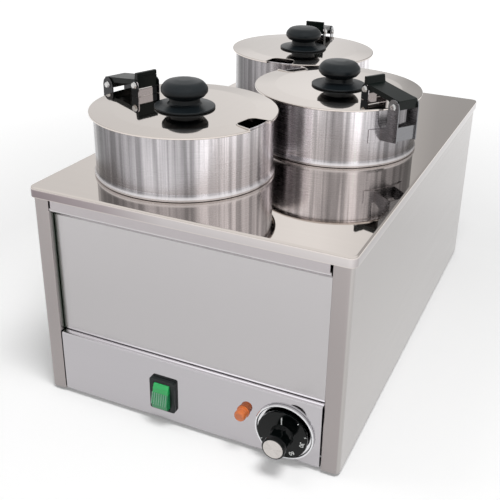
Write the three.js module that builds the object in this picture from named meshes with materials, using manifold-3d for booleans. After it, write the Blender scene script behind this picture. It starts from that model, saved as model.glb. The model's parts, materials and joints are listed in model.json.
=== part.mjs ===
// Countertop food warmer: a stainless steel case with one heated water well, and three
// round pots that hang in it. Each pot has a lid with a ladle notch, a knob and a black
// lift handle, which swings on a bracket outside the pot's wall.
// Millimetres. +Z is up, +X is to the right of someone facing the controls, and -Y points
// at them. The origin lies on the surface that the warmer stands on, under the middle of
// the whole outline, which the knob, the gland and one handle widen beyond the case.

import * as THREE from 'three';
import { mergeVertices } from 'three/addons/utils/BufferGeometryUtils.js';
import Module from 'manifold-3d';

// Shared by many pieces
const sheet = 1.2;
const sheetBend = 0.8;
const seatGap = 0.3;
const overrun = 6;
const weldDistance = 0.0005;
const arcStep = Math.PI / 6;
const smallBend = 3;

// Pots and lids: the lid radius and the gap between lids set the spacing of the wells
const lidRadius = 100.3;
const lidGap = 2.4;
const lidSheet = 1.1;
const lidLip = 4;
const lidLipWall = 2;
const lidOverlap = 4.5;
const lidSeatGap = 0.4;
const potWall = 1;
const potRise = 68.1;
const potBelow = 130;
const potShoulder = 4.8;
const potBeadReach = 2;
const potBeadHeight = 5.6;
const potBeadGap = 0.4;
const potFloorBend = 9;
const potRimHem = 0.6;
const potRimHemHeight = 2;
const potSegments = 28;

// Layout of the wells: two columns, with the middle pot alone in the right one
const columnSpread = 114;
const columnOffset = -4;
const frontHandleTurn = 161.8;
const middleHandleTurn = -31.5;
const rearHandleTurn = 96.3;
const frontNotchTurn = 8;
const middleNotchTurn = 1;
const rearNotchTurn = -3;

// Ladle notch in each lid, with distances in from the lid's edge
const notchDepth = 22.8;
const notchInnerWidth = 28;
const notchRimWidth = 36;
const notchCorner = 5;
const notchHemWall = 1;
const notchHemDepth = 2.4;
const notchHemSetIn = 7.3;

// Lid knob
const lidKnobRadius = 25;
const lidKnobHeight = 30.5;
const lidKnobWidest = 19;
const lidKnobUnderside = 12;
const lidKnobStem = 16.6;
const lidKnobFlange = 32.5;
const lidKnobFlangeEdge = 1.8;
const lidKnobFlangeCrown = 2.4;
const lidKnobSegments = 16;

// Small fasteners of the pots
const screwShank = 2;
const screwHole = 2.4;
const screwHead = 4.2;
const screwHeadHeight = 2.2;
const screwCrownShare = 0.7;
const screwSides = 8;
const lidScrewReach = 14;
const washerRadius = 7.5;
const washerHeight = 1.2;

// Lift handle: distances in from the lid's edge or out beyond it, and heights above its top
const gripWidth = 26.8;
const gripInnerSetIn = 39.3;
const gripTabTop = 26.6;
const gripTabThickness = 4;
const gripTabFoot = 19;
const gripTabToe = 1.5;
const gripUnderside = 9;
const gripHeelEnd = 10;
const gripHeelRise = 3.6;
const gripArmOverhang = 2.7;
const gripArmHeight = 8.3;
const gripOuterOverhang = 19;
const gripOuterTop = 11.9;
const gripOuterBottom = 1.3;
const gripOuterFoot = 12.3;
const gripEdge = 0.8;
const gripGrooveDrop = 4;
const gripGroove = 0.6;

// Lid bracket, which stands on the lid
const earSheet = 1.4;
const lidEarSetIn = 35.55;
const lidEarRadius = 5.75;
const lidEarHeight = 12.85;
const lidWebSetIn = 1.5;
const lidWebHeight = 8;

// Hinge bracket, which is fixed to the pot's wall
const pivotOverhang = 12.7;
const pivotHeight = 4;
const potEarRadius = 8.5;
const potEarNeck = -20;
const potEarShoulder = -25;
const potEarHeel = -38.6;
const potEarToe = -35;
const bandHalfWidth = 29.5;
const bandTop = -25;
const bandBottom = -41;
const bandWall = 1.5;
const potWebSetIn = 2;
const potWebTop = -18;
const potWebBottom = -34;

// Water tank
const tankClearance = 3.2;
const tankWall = 1;
const tankCorner = 20;
const tankFloorBend = 8;
const tankFlange = 6;
const potFloorGap = 24;

// Case: the margins run from the tank's inner faces to the edge of the top plate
const caseTop = 250;
const sideMargin = 22.3;
const frontMargin = 26.8;
const rearMargin = 13.8;
const plateOverhang = 2.5;
const plateLip = 11.3;
const plateCorner = 8;
const plateBend = 2.4;
const wellClearance = 1.2;
const collarDepth = 5;
const sideBottom = 4;
const postWidth = 20;
const postBend = 4.8;
const postReturn = 8;
const panelSetIn = 0.4;

// Front panel
const frontRecess = 7;
const railBottom = 226;
const joggleHeight = 6;
const frontPanelSideGap = 0.6;
const frontFlange = 8;
const railSlotLow = 228.8;
const railSlotHigh = 237.2;
const railSlotDepth = 1.5;

// Control panel
const controlTop = 80;
const controlBottomGap = 0.6;
const controlSideGap = 1.2;
const controlLedge = 14;
const controlReturn = 15;
const panelSeam = 0.3;

// Rear panel
const rearPanelSetIn = 7;
const rearPanelLow = 10;
const rearPanelTopGap = 2.7;
const rearPanelCorner = 4;
const rearScrewShares = [0.08, 0.5, 0.92];
const rearScrewHead = 4;
const rearScrewHeadHeight = 1.2;
const rearScrewShank = 1.7;
const rearScrewHole = 2.1;
const rearScrewReach = 7;
const ventCount = 5;
const ventPitch = 18;
const ventWidth = 4;
const ventLength = 30;
const ventLow = 34;

// Base plate and feet
const baseHeight = 14;
const baseWall = 12;
const baseFrontWall = 3;
const footSetInX = 37.5;
const footSetInY = 42.5;
const footBottomRadius = 14;
const footTopRadius = 16;
const footTaperHeight = 11;
const footCounterbore = 6.5;
const footCounterboreDepth = 5;
const footHole = 2.6;
const footScrewShank = 2.2;
const footScrewHead = 5;
const footScrewHeadHeight = 2.7;
const footNutRadius = 4.6;
const footNutHeight = 3.2;
const footScrewTail = 1;
const baseVentCount = 4;
const baseVentPitch = 36;
const baseVentWidth = 5;
const baseVentLength = 70;

// Heating element and the bars that hold it against the tank's floor
const elementRadius = 4.25;
const elementRunPitch = 70;
const elementRunCount = 4;
const elementFrontReach = 58;
const elementRearReach = 50;
const elementTurnBend = 34;
const elementDrop = 26;
const elementDropBend = 14;
const elementSides = 6;
const barWidth = 20;
const barThickness = 2;
const barOverhang = 16;
const barPlaceShares = [-0.55, 0, 0.55];
const studRadius = 2.5;
const studHole = 2.9;
const studTail = 8;
const studNutRadius = 4.8;
const studNutHeight = 4;

// Thermostat and its knob: set in from the right post, and distances out from the panel
const thermostatSetIn = 39.6;
const thermostatDrop = 41.5;
const thermostatWidth = 42;
const thermostatHeight = 38;
const thermostatDepth = 26;
const thermostatCorner = 6;
const bushingRadius = 4.8;
const bushingReach = 1.2;
const bushingHole = 5.4;
const shaftRadius = 3;
const shaftHole = 3.3;
const shaftInside = 18;
const shaftOutside = 22;
const shaftSides = 12;
const thermostatScrewSpread = 14;
const thermostatScrewHead = 3.2;
const thermostatScrewHeadHeight = 1.6;
const thermostatScrewShank = 1.5;
const thermostatScrewHole = 1.9;
const thermostatScrewReach = 6;
const terminalWidth = 6.3;
const terminalThickness = 0.8;
const terminalLength = 8;
const bezelRadius = 32.3;
const bezelRim = 2.6;
const bezelHeight = 3.5;
const bezelFloor = 1;
const bezelInner = 21;
const dialRadius = 27.2;
const dialBack = 4.2;
const dialRecess = 24;
const dialRecessDepth = 1.4;
const dialFront = 7;
const dialCrown = 0.8;
const hubFoot = 12.8;
const hubTop = 11;
const hubHeight = 12.5;
const gripHexRadius = 11.7;
const gripHexTurn = 26;
const dialShoulder = 25.5;
const dialFace = 30;
const dialFaceRadius = 12.4;
const dialFaceEdge = 0.8;
const dialSegments = 20;
const capRadius = 10.6;
const capHeight = 1.4;
const capRecessGap = 0.3;
const capRecess = 1.3;
const capCone = 0.3;

// Thermostat bulb, clipped below the tank and joined to the thermostat by a fine tube
const bulbRadius = 3.6;
const bulbLength = 90;
const bulbX = 52;
const bulbFrontShare = 0.1;
const capillaryRadius = 1;
const capillaryBend = 10;
const bulbNeck = 6;

// Rocker switch: set off from the knob, and distances out from the panel
const switchFromKnob = 140.6;
const switchDrop = 41.3;
const switchWidth = 30;
const switchHeight = 38.7;
const switchProud = 4;
const switchCorner = 2;
const switchBodyWidth = 26.4;
const switchBodyHeight = 36.4;
const switchBodyDepth = 22;
const switchWellWidth = 19.4;
const switchWellHeight = 32;
const switchWellDrop = 1;
const switchWellDepth = 16;
const rockerSideGap = 0.5;
const rockerPivotDepth = 0.5;
const rockerTilt = 11;
const rockerRidgeRise = 9.4;
const rockerRidgeOut = 9;
const rockerHollow = 0.3;
const rockerEndRise = 14.4;
const rockerEndOut = 7.2;
const rockerToeRise = 14.2;
const rockerToeOut = 0.5;
const rockerHeelRise = 12.6;
const rockerHeelIn = 6;
const rockerKeelRise = 7;
const rockerKeelIn = 10;
const rockerPinRadius = 1.5;
const rockerPinHole = 1.9;
const rockerPinReach = 1.6;

// Pilot lamp: set off from the knob, and distances out from the panel
const lampFromKnob = 46.5;
const lampDrop = 32.9;
const lampRadius = 7.1;
const lampFlange = 1.4;
const lampDomeFoot = 6.3;
const lampCrown = 2.8;
const lampProud = 10.5;
const lampBodyRadius = 5.8;
const lampHole = 6.2;
const lampBodyDepth = 20;
const lampNutRadius = 8.6;
const lampNutHeight = 3;
const lampSegments = 12;

// Cable gland and terminal block near the rear
const glandSetIn = 37;
const glandRise = 42;
const glandBore = 4;
const glandThread = 7;
const glandHole = 7.4;
const glandHexRadius = 11;
const glandHexHeight = 6;
const glandCapRadius = 8.6;
const glandCapHeight = 8;
const glandNutHeight = 4;
const glandInside = 10;
const blockFromGland = 58;
const blockSetIn = 60;
const blockLength = 46;
const blockWidth = 18;
const blockHeight = 16;
const blockWayCount = 4;
const blockWayRadius = 2.6;
const blockWayDepth = 6;
const blockStep = 4;

// Derived places
const potUpperRadius = lidRadius - lidOverlap;
const potLowerRadius = potUpperRadius - potShoulder;
const wellRadius = potLowerRadius + wellClearance;
const rowPitch = Math.sqrt((2 * lidRadius + lidGap) ** 2 - columnSpread ** 2);
const tankHalfWidth = columnSpread / 2 + Math.abs(columnOffset) + potLowerRadius + tankClearance;
const tankInnerDepth = 2 * (rowPitch + potLowerRadius + tankClearance);
const caseWidth = 2 * (tankHalfWidth + sideMargin);
const caseDepth = tankInnerDepth + frontMargin + rearMargin;
const tankFront = -caseDepth / 2 + frontMargin;
const tankRear = caseDepth / 2 - rearMargin;
const tankMiddle = (tankFront + tankRear) / 2;
const tankFloorTop = caseTop - potBelow - potFloorGap;
const tankUnder = tankFloorTop - tankWall;
const sideFace = caseWidth / 2 - plateOverhang;
const endFace = caseDepth / 2 - plateOverhang;
const panelFace = -endFace + panelSetIn;
const plateUnder = caseTop - sheet;
const sideTop = plateUnder - seatGap;
const openingHalf = sideFace - postWidth;
const lidTopHeight = potRise + lidSeatGap + lidSheet;
const notchInner = lidRadius - notchDepth;
const notchHemReach = lidRadius - notchHemSetIn;
const gripInnerEnd = lidRadius - gripInnerSetIn;
const gripArmEnd = lidRadius + gripArmOverhang;
const gripOuterEnd = lidRadius + gripOuterOverhang;
const lidEarCentre = lidRadius - lidEarSetIn;
const pivotOut = lidRadius + pivotOverhang;
const leftColumn = columnOffset - columnSpread / 2;
const rightColumn = columnOffset + columnSpread / 2;
const earHalf = gripWidth / 2 + seatGap + earSheet;
const baseTop = baseHeight + sheet;
const thermostatX = openingHalf - thermostatSetIn;
const thermostatZ = controlTop - thermostatDrop;
const switchX = thermostatX - switchFromKnob;
const switchZ = controlTop - switchDrop;
const lampX = thermostatX - lampFromKnob;
const lampZ = controlTop - lampDrop;
const glandX = openingHalf - glandSetIn;
const glandZ = rearPanelLow + glandRise;
const blockX = glandX - blockFromGland;

const pots = [
  { name: 'front', x: leftColumn, y: tankMiddle - rowPitch, turn: frontHandleTurn, notch: frontNotchTurn },
  { name: 'middle', x: rightColumn, y: tankMiddle, turn: middleHandleTurn, notch: middleNotchTurn },
  { name: 'rear', x: leftColumn, y: tankMiddle + rowPitch, turn: rearHandleTurn, notch: rearNotchTurn },
];

// Finishes
const mirrorSteel = { color: '#c9c4bd', roughness: 0.12, metalness: 1 };
const satinSteel = { color: '#bab8b7', roughness: 0.3, metalness: 1 };
const brushedSteel = { color: '#c4c1be', roughness: 0.35, metalness: 1 };
const galvanizedSteel = { color: '#a9adb0', roughness: 0.5, metalness: 1 };
const chrome = { color: '#d8d8da', roughness: 0.08, metalness: 1 };
const screwSteel = { color: '#b5b3b1', roughness: 0.25, metalness: 1 };
const blackPlastic = { color: '#24292c', roughness: 0.35, metalness: 0 };
const blackRubber = { color: '#1d1e1f', roughness: 0.8, metalness: 0 };
const greenLens = { color: '#2da555', roughness: 0.25, metalness: 0 };
const amberLens = { color: '#d76428', roughness: 0.2, metalness: 0 };
const darkSheath = { color: '#5c5f58', roughness: 0.55, metalness: 0.8 };
const copper = { color: '#b87848', roughness: 0.35, metalness: 1 };
const greyMoulding = { color: '#8b8f92', roughness: 0.6, metalness: 0 };

const wasm = await Module();
wasm.setup();

const radians = THREE.MathUtils.degToRad;
const point = (x, y) => new THREE.Vector2(x, y);

// Six times the signed volume, to tell whether the faces point outwards
function signedVolume(position, triangles) {
  const a = new THREE.Vector3();
  const b = new THREE.Vector3();
  const c = new THREE.Vector3();
  let volume = 0;
  for (let i = 0; i < triangles.length; i += 3) {
    a.fromBufferAttribute(position, triangles[i]);
    b.fromBufferAttribute(position, triangles[i + 1]);
    c.fromBufferAttribute(position, triangles[i + 2]);
    volume += a.dot(b.cross(c));
  }
  return volume;
}

// A closed geometry as a solid that can be joined and cut
function solidOf(geometry) {
  const bare = new THREE.BufferGeometry();
  bare.setAttribute('position', geometry.getAttribute('position'));
  bare.setIndex(geometry.getIndex());
  const merged = mergeVertices(bare, weldDistance);
  const position = merged.getAttribute('position');
  const index = merged.getIndex().array;
  const triangles = [];
  for (let i = 0; i < index.length; i += 3) {
    const [a, b, c] = [index[i], index[i + 1], index[i + 2]];
    if (a !== b && b !== c && c !== a) triangles.push(a, b, c);
  }
  if (signedVolume(position, triangles) < 0) triangles.reverse();
  return new wasm.Manifold(new wasm.Mesh({
    numProp: 3,
    vertProperties: new Float32Array(position.array),
    triVerts: new Uint32Array(triangles),
  }));
}

function geometryOf(solid) {
  const mesh = solid.getMesh();
  const geometry = new THREE.BufferGeometry();
  geometry.setAttribute('position', new THREE.BufferAttribute(new Float32Array(mesh.vertProperties), 3));
  geometry.setIndex(new THREE.BufferAttribute(new Uint32Array(mesh.triVerts), 1));
  const faceted = geometry.toNonIndexed();
  faceted.computeVertexNormals();
  return faceted;
}

const join = (first, ...others) => others.reduce((sum, other) => sum.add(other), first);
const cut = (first, ...tools) => tools.reduce((left, tool) => left.subtract(tool), first);

function addPiece(parent, name, solid, finish) {
  const mesh = new THREE.Mesh(geometryOf(solid), new THREE.MeshStandardMaterial(finish));
  mesh.name = name;
  parent.add(mesh);
}

// Points of the arc that rounds a corner: fewer on a small bend, and on a radius of zero
// the corner itself
function roundCorner(before, corner, after, radius) {
  if (radius === 0) return [corner.clone()];
  const toBefore = before.clone().sub(corner).normalize();
  const toAfter = after.clone().sub(corner).normalize();
  const half = toBefore.angleTo(toAfter) / 2;
  const middle = toBefore.clone().add(toAfter).normalize();
  const centre = corner.clone().addScaledVector(middle, radius / Math.sin(half));
  const start = corner.clone().addScaledVector(toBefore, radius / Math.tan(half));
  const turn = Math.PI - 2 * half;
  const sense = -Math.sign(toBefore.cross(toAfter));
  const steps = Math.max(1, Math.ceil(turn / (radius < smallBend ? 2 * arcStep : arcStep)));
  return Array.from({ length: steps + 1 }, (_, step) => (
    start.clone().rotateAround(centre, sense * turn * step / steps)));
}

// A closed outline whose corners are rounded, by one radius or by one for each corner
function roundedOutline(corners, radii) {
  const last = corners.length;
  return new THREE.Shape(corners.flatMap((corner, index) => roundCorner(
    corners[(index + last - 1) % last],
    corner,
    corners[(index + 1) % last],
    Array.isArray(radii) ? radii[index] : radii,
  )));
}

function rectangle(width, height, radius = 0) {
  const corners = [[-1, -1], [1, -1], [1, 1], [-1, 1]];
  return roundedOutline(corners.map(([x, y]) => point(x * width / 2, y * height / 2)), radius);
}

// The section of a bent sheet: its face follows the corners, its back lies to their left;
// the bends are one size, or one for each corner
function bentSheet(corners, thickness, bends) {
  const face = [];
  const back = [];
  corners.forEach((corner, index) => {
    const before = corners[index - 1];
    const after = corners[index + 1];
    const into = before && corner.clone().sub(before).normalize();
    const out = after && after.clone().sub(corner).normalize();
    const along = (into || out).clone().add(out || into).normalize();
    const left = point(-along.y, along.x);
    const halfTurn = into && out ? into.angleTo(out) / 2 : 0;
    const backCorner = corner.clone().addScaledVector(left, thickness / Math.cos(halfTurn));
    if (!into || !out) {
      face.push(corner.clone());
      back.push(backCorner);
      return;
    }
    const bend = Array.isArray(bends) ? bends[index] : bends;
    const turnsLeft = into.cross(out) > 0;
    const faceBend = turnsLeft ? bend + thickness : bend;
    const backBend = turnsLeft ? bend : bend + thickness;
    face.push(...roundCorner(before, corner, after, faceBend));
    back.push(...roundCorner(backCorner.clone().sub(into), backCorner, backCorner.clone().add(out), backBend));
  });
  return new THREE.Shape([...face, ...back.reverse()]);
}

// Outline in x and y, raised from low to high
function raised(shape, low, high) {
  return new THREE.ExtrudeGeometry(shape, { depth: high - low, bevelEnabled: false }).translate(0, 0, low);
}

// Outline in y and z, drawn out along x
function drawnAlongX(shape, low, high) {
  const basis = new THREE.Matrix4().set(0, 0, 1, 0, 1, 0, 0, 0, 0, 1, 0, 0, 0, 0, 0, 1);
  return raised(shape, low, high).applyMatrix4(basis);
}

// Outline in x and z, drawn out along y
function drawnAlongY(shape, low, high) {
  const basis = new THREE.Matrix4().set(1, 0, 0, 0, 0, 0, 1, 0, 0, 1, 0, 0, 0, 0, 0, 1);
  return raised(shape, low, high).applyMatrix4(basis);
}

function block(lowX, highX, lowY, highY, lowZ, highZ) {
  return new THREE.BoxGeometry(highX - lowX, highY - lowY, highZ - lowZ)
    .translate((lowX + highX) / 2, (lowY + highY) / 2, (lowZ + highZ) / 2);
}

function rod(radius, low, high, sides = screwSides) {
  return new THREE.CylinderGeometry(radius, radius, high - low, sides)
    .rotateX(Math.PI / 2)
    .translate(0, 0, (low + high) / 2);
}

// A profile of radius and height, turned about the Z axis
function turned(profile, segments) {
  return solidOf(new THREE.LatheGeometry(profile, segments).rotateX(Math.PI / 2));
}

function closedTurned(profile, segments) {
  return turned([...profile, profile[0].clone()], segments);
}

// A block with rounded upright corners and a rounded top edge, its top at zero
function softBlock(width, depth, corner, edge, height) {
  return new THREE.ExtrudeGeometry(rectangle(width - 2 * edge, depth - 2 * edge, corner - edge), {
    depth: height - edge,
    bevelThickness: edge,
    bevelSize: edge,
    bevelSegments: 2,
  }).translate(0, 0, -height);
}

// A path of straight runs with rounded corners, which a tube follows point by point;
// the bends are one size, or one for each corner
class Route extends THREE.Curve {
  constructor(corners, bends, steps) {
    super();
    this.points = corners.flatMap((corner, index) => {
      const before = corners[index - 1];
      const after = corners[index + 1];
      if (!before || !after) return [corner.clone()];
      const bend = Array.isArray(bends) ? bends[index] : bends;
      const start = corner.clone().addScaledVector(before.clone().sub(corner).normalize(), bend);
      const end = corner.clone().addScaledVector(after.clone().sub(corner).normalize(), bend);
      return new THREE.QuadraticBezierCurve3(start, corner, end).getPoints(steps);
    });
  }

  getPoint(share, target = new THREE.Vector3()) {
    const place = share * (this.points.length - 1);
    const index = Math.min(Math.floor(place), this.points.length - 2);
    return target.lerpVectors(this.points[index], this.points[index + 1], place - index);
  }

  getPointAt(share, target) {
    return this.getPoint(share, target);
  }

  getTangentAt(share, target = new THREE.Vector3()) {
    const place = Math.round(share * (this.points.length - 1));
    const before = this.points[Math.max(place - 1, 0)];
    const after = this.points[Math.min(place + 1, this.points.length - 1)];
    return target.copy(after).sub(before).normalize();
  }
}

function tube(corners, bends, radius, sides, steps = 4) {
  const route = new Route(corners, bends, steps);
  const section = new THREE.Shape(Array.from({ length: sides }, (_, index) => (
    point(radius, 0).rotateAround(point(0, 0), 2 * Math.PI * index / sides))));
  return solidOf(new THREE.ExtrudeGeometry(section, {
    steps: route.points.length - 1,
    bevelEnabled: false,
    extrudePath: route,
  }));
}

// Pan-head screw along +Z: the head ends at zero and the shank points down
function panScrew(head, headHeight, shank, reach) {
  return turned([
    point(0, -reach),
    point(shank, -reach),
    point(shank, 0),
    point(head, 0),
    point(head * screwCrownShare, headHeight),
    point(0, headHeight),
  ], screwSides);
}

// Top plate: a pressed sheet with a folded edge and a drawn collar round each well, with
// heights measured from its top face
function topPlate() {
  const skin = softBlock(caseWidth, caseDepth, plateCorner, plateBend, plateLip);
  const hollow = softBlock(
    caseWidth - 2 * sheet,
    caseDepth - 2 * sheet,
    plateCorner - sheet,
    plateBend - sheet,
    plateLip + overrun,
  ).translate(0, 0, -sheet);
  const below = block(-caseWidth, caseWidth, -caseDepth, caseDepth, -caseTop, -plateLip);
  let plate = cut(solidOf(skin), solidOf(hollow), solidOf(below));
  pots.forEach((pot) => {
    const collar = rod(wellRadius + sheet, -sheet - collarDepth, -sheet / 2, potSegments);
    const well = rod(wellRadius, -caseTop, overrun, potSegments);
    plate = cut(join(plate, solidOf(collar.translate(pot.x, pot.y, 0))), solidOf(well.translate(pot.x, pot.y, 0)));
  });
  return plate;
}

const rearPanelHalf = sideFace - rearPanelSetIn;
const rearPanelHigh = caseTop - plateLip - rearPanelTopGap;
const rearScrewX = sideFace - postWidth / 2;
const rearScrewPlaces = [-1, 1].flatMap((side) => rearScrewShares.map((share) => (
  point(side * rearScrewX, rearPanelLow + share * (rearPanelHigh - rearPanelLow)))));

function rearScrewHoles() {
  return rearScrewPlaces.map((place) => solidOf(
    rod(rearScrewHole, -overrun, overrun).rotateX(Math.PI / 2).translate(place.x, endFace, place.y)));
}

// Side panel, bent round into the front and rear posts; the front post turns in again
function sidePanel(side) {
  const plan = bentSheet([
    point(openingHalf, -endFace + postReturn),
    point(openingHalf, -endFace),
    point(sideFace, -endFace),
    point(sideFace, endFace),
    point(openingHalf, endFace),
  ], sheet, [0, sheetBend, postBend, postBend, 0]);
  return cut(solidOf(raised(plan, sideBottom, sideTop).scale(side, 1, 1)), ...rearScrewHoles());
}

// Front panel: the rail at the top is level with the posts, and the rest lies back
function frontPanel() {
  const half = openingHalf - frontPanelSideGap;
  const recessed = panelFace + frontRecess;
  const section = bentSheet([
    point(panelFace, sideTop),
    point(panelFace, railBottom),
    point(recessed, railBottom - joggleHeight),
    point(recessed, controlTop + panelSeam),
    point(recessed + frontFlange, controlTop + panelSeam),
  ], sheet, sheetBend);
  const slots = [-1, 1].map((side) => solidOf(
    block(-railSlotDepth, overrun, -overrun, overrun, railSlotLow, railSlotHigh)
      .scale(side, 1, 1)
      .translate(side * half, panelFace, 0)));
  return cut(solidOf(drawnAlongX(section, -half, half)), ...slots);
}

// Controls are drawn lying flat, with x to the right, y up and z out of the panel
function onPanel(x, z) {
  const group = new THREE.Group();
  group.position.set(x, panelFace, z);
  group.rotation.x = Math.PI / 2;
  return group;
}

function throughPanel(geometry, x, z) {
  return solidOf(geometry.rotateX(Math.PI / 2).translate(x, panelFace, z));
}

function controlPanel() {
  const half = openingHalf - controlSideGap;
  const bottom = sideBottom + controlBottomGap;
  const section = bentSheet([
    point(panelFace + controlLedge, controlTop),
    point(panelFace, controlTop),
    point(panelFace, bottom),
    point(panelFace + controlReturn, bottom),
  ], sheet, sheetBend);
  const switchHole = rectangle(switchBodyWidth + 2 * seatGap, switchBodyHeight + 2 * seatGap);
  const screwHoles = [-1, 1].map((side) => throughPanel(
    rod(thermostatScrewHole, -overrun, overrun),
    thermostatX + side * thermostatScrewSpread,
    thermostatZ,
  ));
  return cut(
    solidOf(drawnAlongX(section, -half, half)),
    throughPanel(raised(switchHole, -overrun, overrun), switchX, switchZ),
    throughPanel(rod(lampHole, -overrun, overrun, lampSegments), lampX, lampZ),
    throughPanel(rod(bushingHole, -overrun, overrun, lampSegments), thermostatX, thermostatZ),
    ...screwHoles,
  );
}

// A row of slots with round ends, side by side along x
function slotRow(count, pitch, width, length) {
  return Array.from({ length: count }, (_, index) => {
    const slot = raised(rectangle(width, length, width / 2), -overrun, overrun);
    return slot.translate((index - (count - 1) / 2) * pitch, 0, 0);
  });
}

// Rear panel with its vents and its six screws, which reach into the rear posts
function rearPanel() {
  const height = rearPanelHigh - rearPanelLow;
  const near = endFace + seatGap;
  const plate = drawnAlongY(rectangle(2 * rearPanelHalf, height, rearPanelCorner), near, near + sheet)
    .translate(0, 0, (rearPanelLow + rearPanelHigh) / 2);
  const vents = [-1, 1].flatMap((side) => slotRow(ventCount, ventPitch, ventWidth, ventLength).map((slot) => (
    solidOf(slot.rotateX(Math.PI / 2).translate(side * ventPitch * ventCount / 2 - ventPitch, near, ventLow + ventLength)))));
  const screw = panScrew(rearScrewHead, rearScrewHeadHeight, rearScrewShank, rearScrewReach);
  const screws = rearScrewPlaces.map((place) => solidOf(
    geometryOf(screw).rotateX(-Math.PI / 2).translate(place.x, near + sheet, place.y)));
  const glandCut = rod(glandHole, -overrun, overrun, lampSegments).rotateX(Math.PI / 2);
  return cut(join(solidOf(plate), ...screws), ...vents, solidOf(glandCut.translate(glandX, near, glandZ)));
}

const footX = caseWidth / 2 - footSetInX;
const footY = caseDepth / 2 - footSetInY;
const feet = [
  { name: 'front_left', x: -footX, y: -footY },
  { name: 'front_right', x: footX, y: -footY },
  { name: 'rear_left', x: -footX, y: footY },
  { name: 'rear_right', x: footX, y: footY },
];

// Base plate: a shallow tray between the side panels, low at the front below the controls
function basePlate() {
  const halfX = sideFace - sheet - seatGap;
  const halfY = endFace - postReturn - 2 * seatGap;
  const tray = block(-halfX, halfX, -halfY, halfY, baseHeight, baseTop + baseWall);
  const inside = block(-halfX + sheet, halfX - sheet, -halfY + sheet, halfY - sheet, baseTop, baseTop + baseWall + overrun);
  const holes = feet.map((foot) => solidOf(
    rod(footHole, baseHeight - overrun, baseTop + overrun).translate(foot.x, foot.y, 0)));
  const vents = slotRow(baseVentCount, baseVentPitch, baseVentWidth, baseVentLength)
    .map((slot) => solidOf(slot.translate(0, 0, baseHeight)));
  const controls = block(
    -halfX + sheet,
    halfX - sheet,
    -halfY - overrun,
    -halfY + sheet + overrun,
    baseTop + baseFrontWall,
    baseTop + baseWall + overrun,
  );
  return cut(solidOf(tray), solidOf(inside), solidOf(controls), ...holes, ...vents);
}

function rubberFoot() {
  return closedTurned([
    point(footCounterbore, 0),
    point(footBottomRadius, 0),
    point(footTopRadius, footTaperHeight),
    point(footTopRadius, baseHeight - seatGap),
    point(footHole, baseHeight - seatGap),
    point(footHole, footCounterboreDepth),
    point(footCounterbore, footCounterboreDepth),
  ], lampSegments);
}

// Foot screw with its nut on the base plate
function footScrew() {
  const headTop = footCounterboreDepth - seatGap;
  const nutLow = baseTop + seatGap;
  const nutHigh = nutLow + footNutHeight;
  const screw = turned([
    point(0, headTop - footScrewHeadHeight),
    point(footScrewHead, headTop - footScrewHeadHeight),
    point(footScrewHead, headTop),
    point(footScrewShank, headTop),
    point(footScrewShank, nutHigh + footScrewTail),
    point(0, nutHigh + footScrewTail),
  ], screwSides);
  return join(screw, solidOf(rod(footNutRadius, nutLow, nutHigh, 6)));
}

const elementHeight = tankUnder - seatGap - elementRadius;
const elementFront = tankFront + elementFrontReach;
const elementRear = tankRear - elementRearReach;
const barHeight = elementHeight - elementRadius - seatGap - barThickness;
const barHalf = elementRunPitch * (elementRunCount - 1) / 2 + barOverhang;
const barPlaces = barPlaceShares.map((share) => (
  (elementFront + elementRear) / 2 + share * (elementRear - elementFront) / 2));

// Water tank: a deep pressed tub whose flange lies below the top plate. The studs that
// carry the element's bars are welded to the floor's underside.
function waterTank() {
  const width = 2 * (tankHalfWidth + tankWall);
  const depth = tankRear - tankFront + 2 * tankWall;
  const top = plateUnder - seatGap;
  const tub = softBlock(width, depth, tankCorner, tankFloorBend, top - tankUnder).rotateX(Math.PI);
  const inside = softBlock(
    width - 2 * tankWall,
    depth - 2 * tankWall,
    tankCorner - tankWall,
    tankFloorBend - tankWall,
    top - tankUnder + overrun,
  ).rotateX(Math.PI);
  const flange = rectangle(width + 2 * tankFlange, depth + 2 * tankFlange, tankCorner + tankFlange);
  const lip = raised(flange, top - sheet, top);
  const above = block(-caseWidth, caseWidth, -caseDepth, caseDepth, top, top + caseTop);
  const studs = barPlaces.flatMap((y) => [-1, 1].map((side) => solidOf(
    rod(studRadius, barHeight - studNutHeight - studTail, tankUnder + tankWall / 2)
      .translate(side * elementRunPitch, y, 0))));
  return cut(
    join(solidOf(tub.translate(0, tankMiddle, tankUnder)), solidOf(lip.translate(0, tankMiddle, 0)), ...studs),
    solidOf(inside.translate(0, tankMiddle, tankFloorTop)),
    solidOf(above),
  );
}

// Heating element: one sheathed rod in four runs, with both ends turned down at the front
function heatingElement() {
  const runs = Array.from({ length: elementRunCount }, (_, index) => (
    (index - (elementRunCount - 1) / 2) * elementRunPitch));
  const low = elementHeight - elementDrop;
  const corners = [new THREE.Vector3(runs[0], elementFront, low)];
  runs.forEach((x, index) => {
    const goesBack = index % 2 === 0;
    corners.push(new THREE.Vector3(x, goesBack ? elementFront : elementRear, elementHeight));
    corners.push(new THREE.Vector3(x, goesBack ? elementRear : elementFront, elementHeight));
  });
  corners.push(new THREE.Vector3(runs.at(-1), elementFront, low));
  const ends = [1, corners.length - 2];
  const bends = corners.map((_, index) => (ends.includes(index) ? elementDropBend : elementTurnBend));
  return tube(corners, bends, elementRadius, elementSides);
}

// Bar below the element, with the two nuts that hold it up on the tank's studs
function elementBar() {
  const bar = raised(rectangle(2 * barHalf, barWidth, barWidth / 4), barHeight, barHeight + barThickness);
  const nuts = [-1, 1].map((side) => solidOf(
    rod(studNutRadius, barHeight - studNutHeight, barHeight + barThickness / 2, 6)
      .translate(side * elementRunPitch, 0, 0)));
  const holes = [-1, 1].map((side) => solidOf(
    rod(studHole, barHeight - studNutHeight - overrun, barHeight + overrun)
      .translate(side * elementRunPitch, 0, 0)));
  return cut(join(solidOf(bar), ...nuts), ...holes);
}

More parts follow.
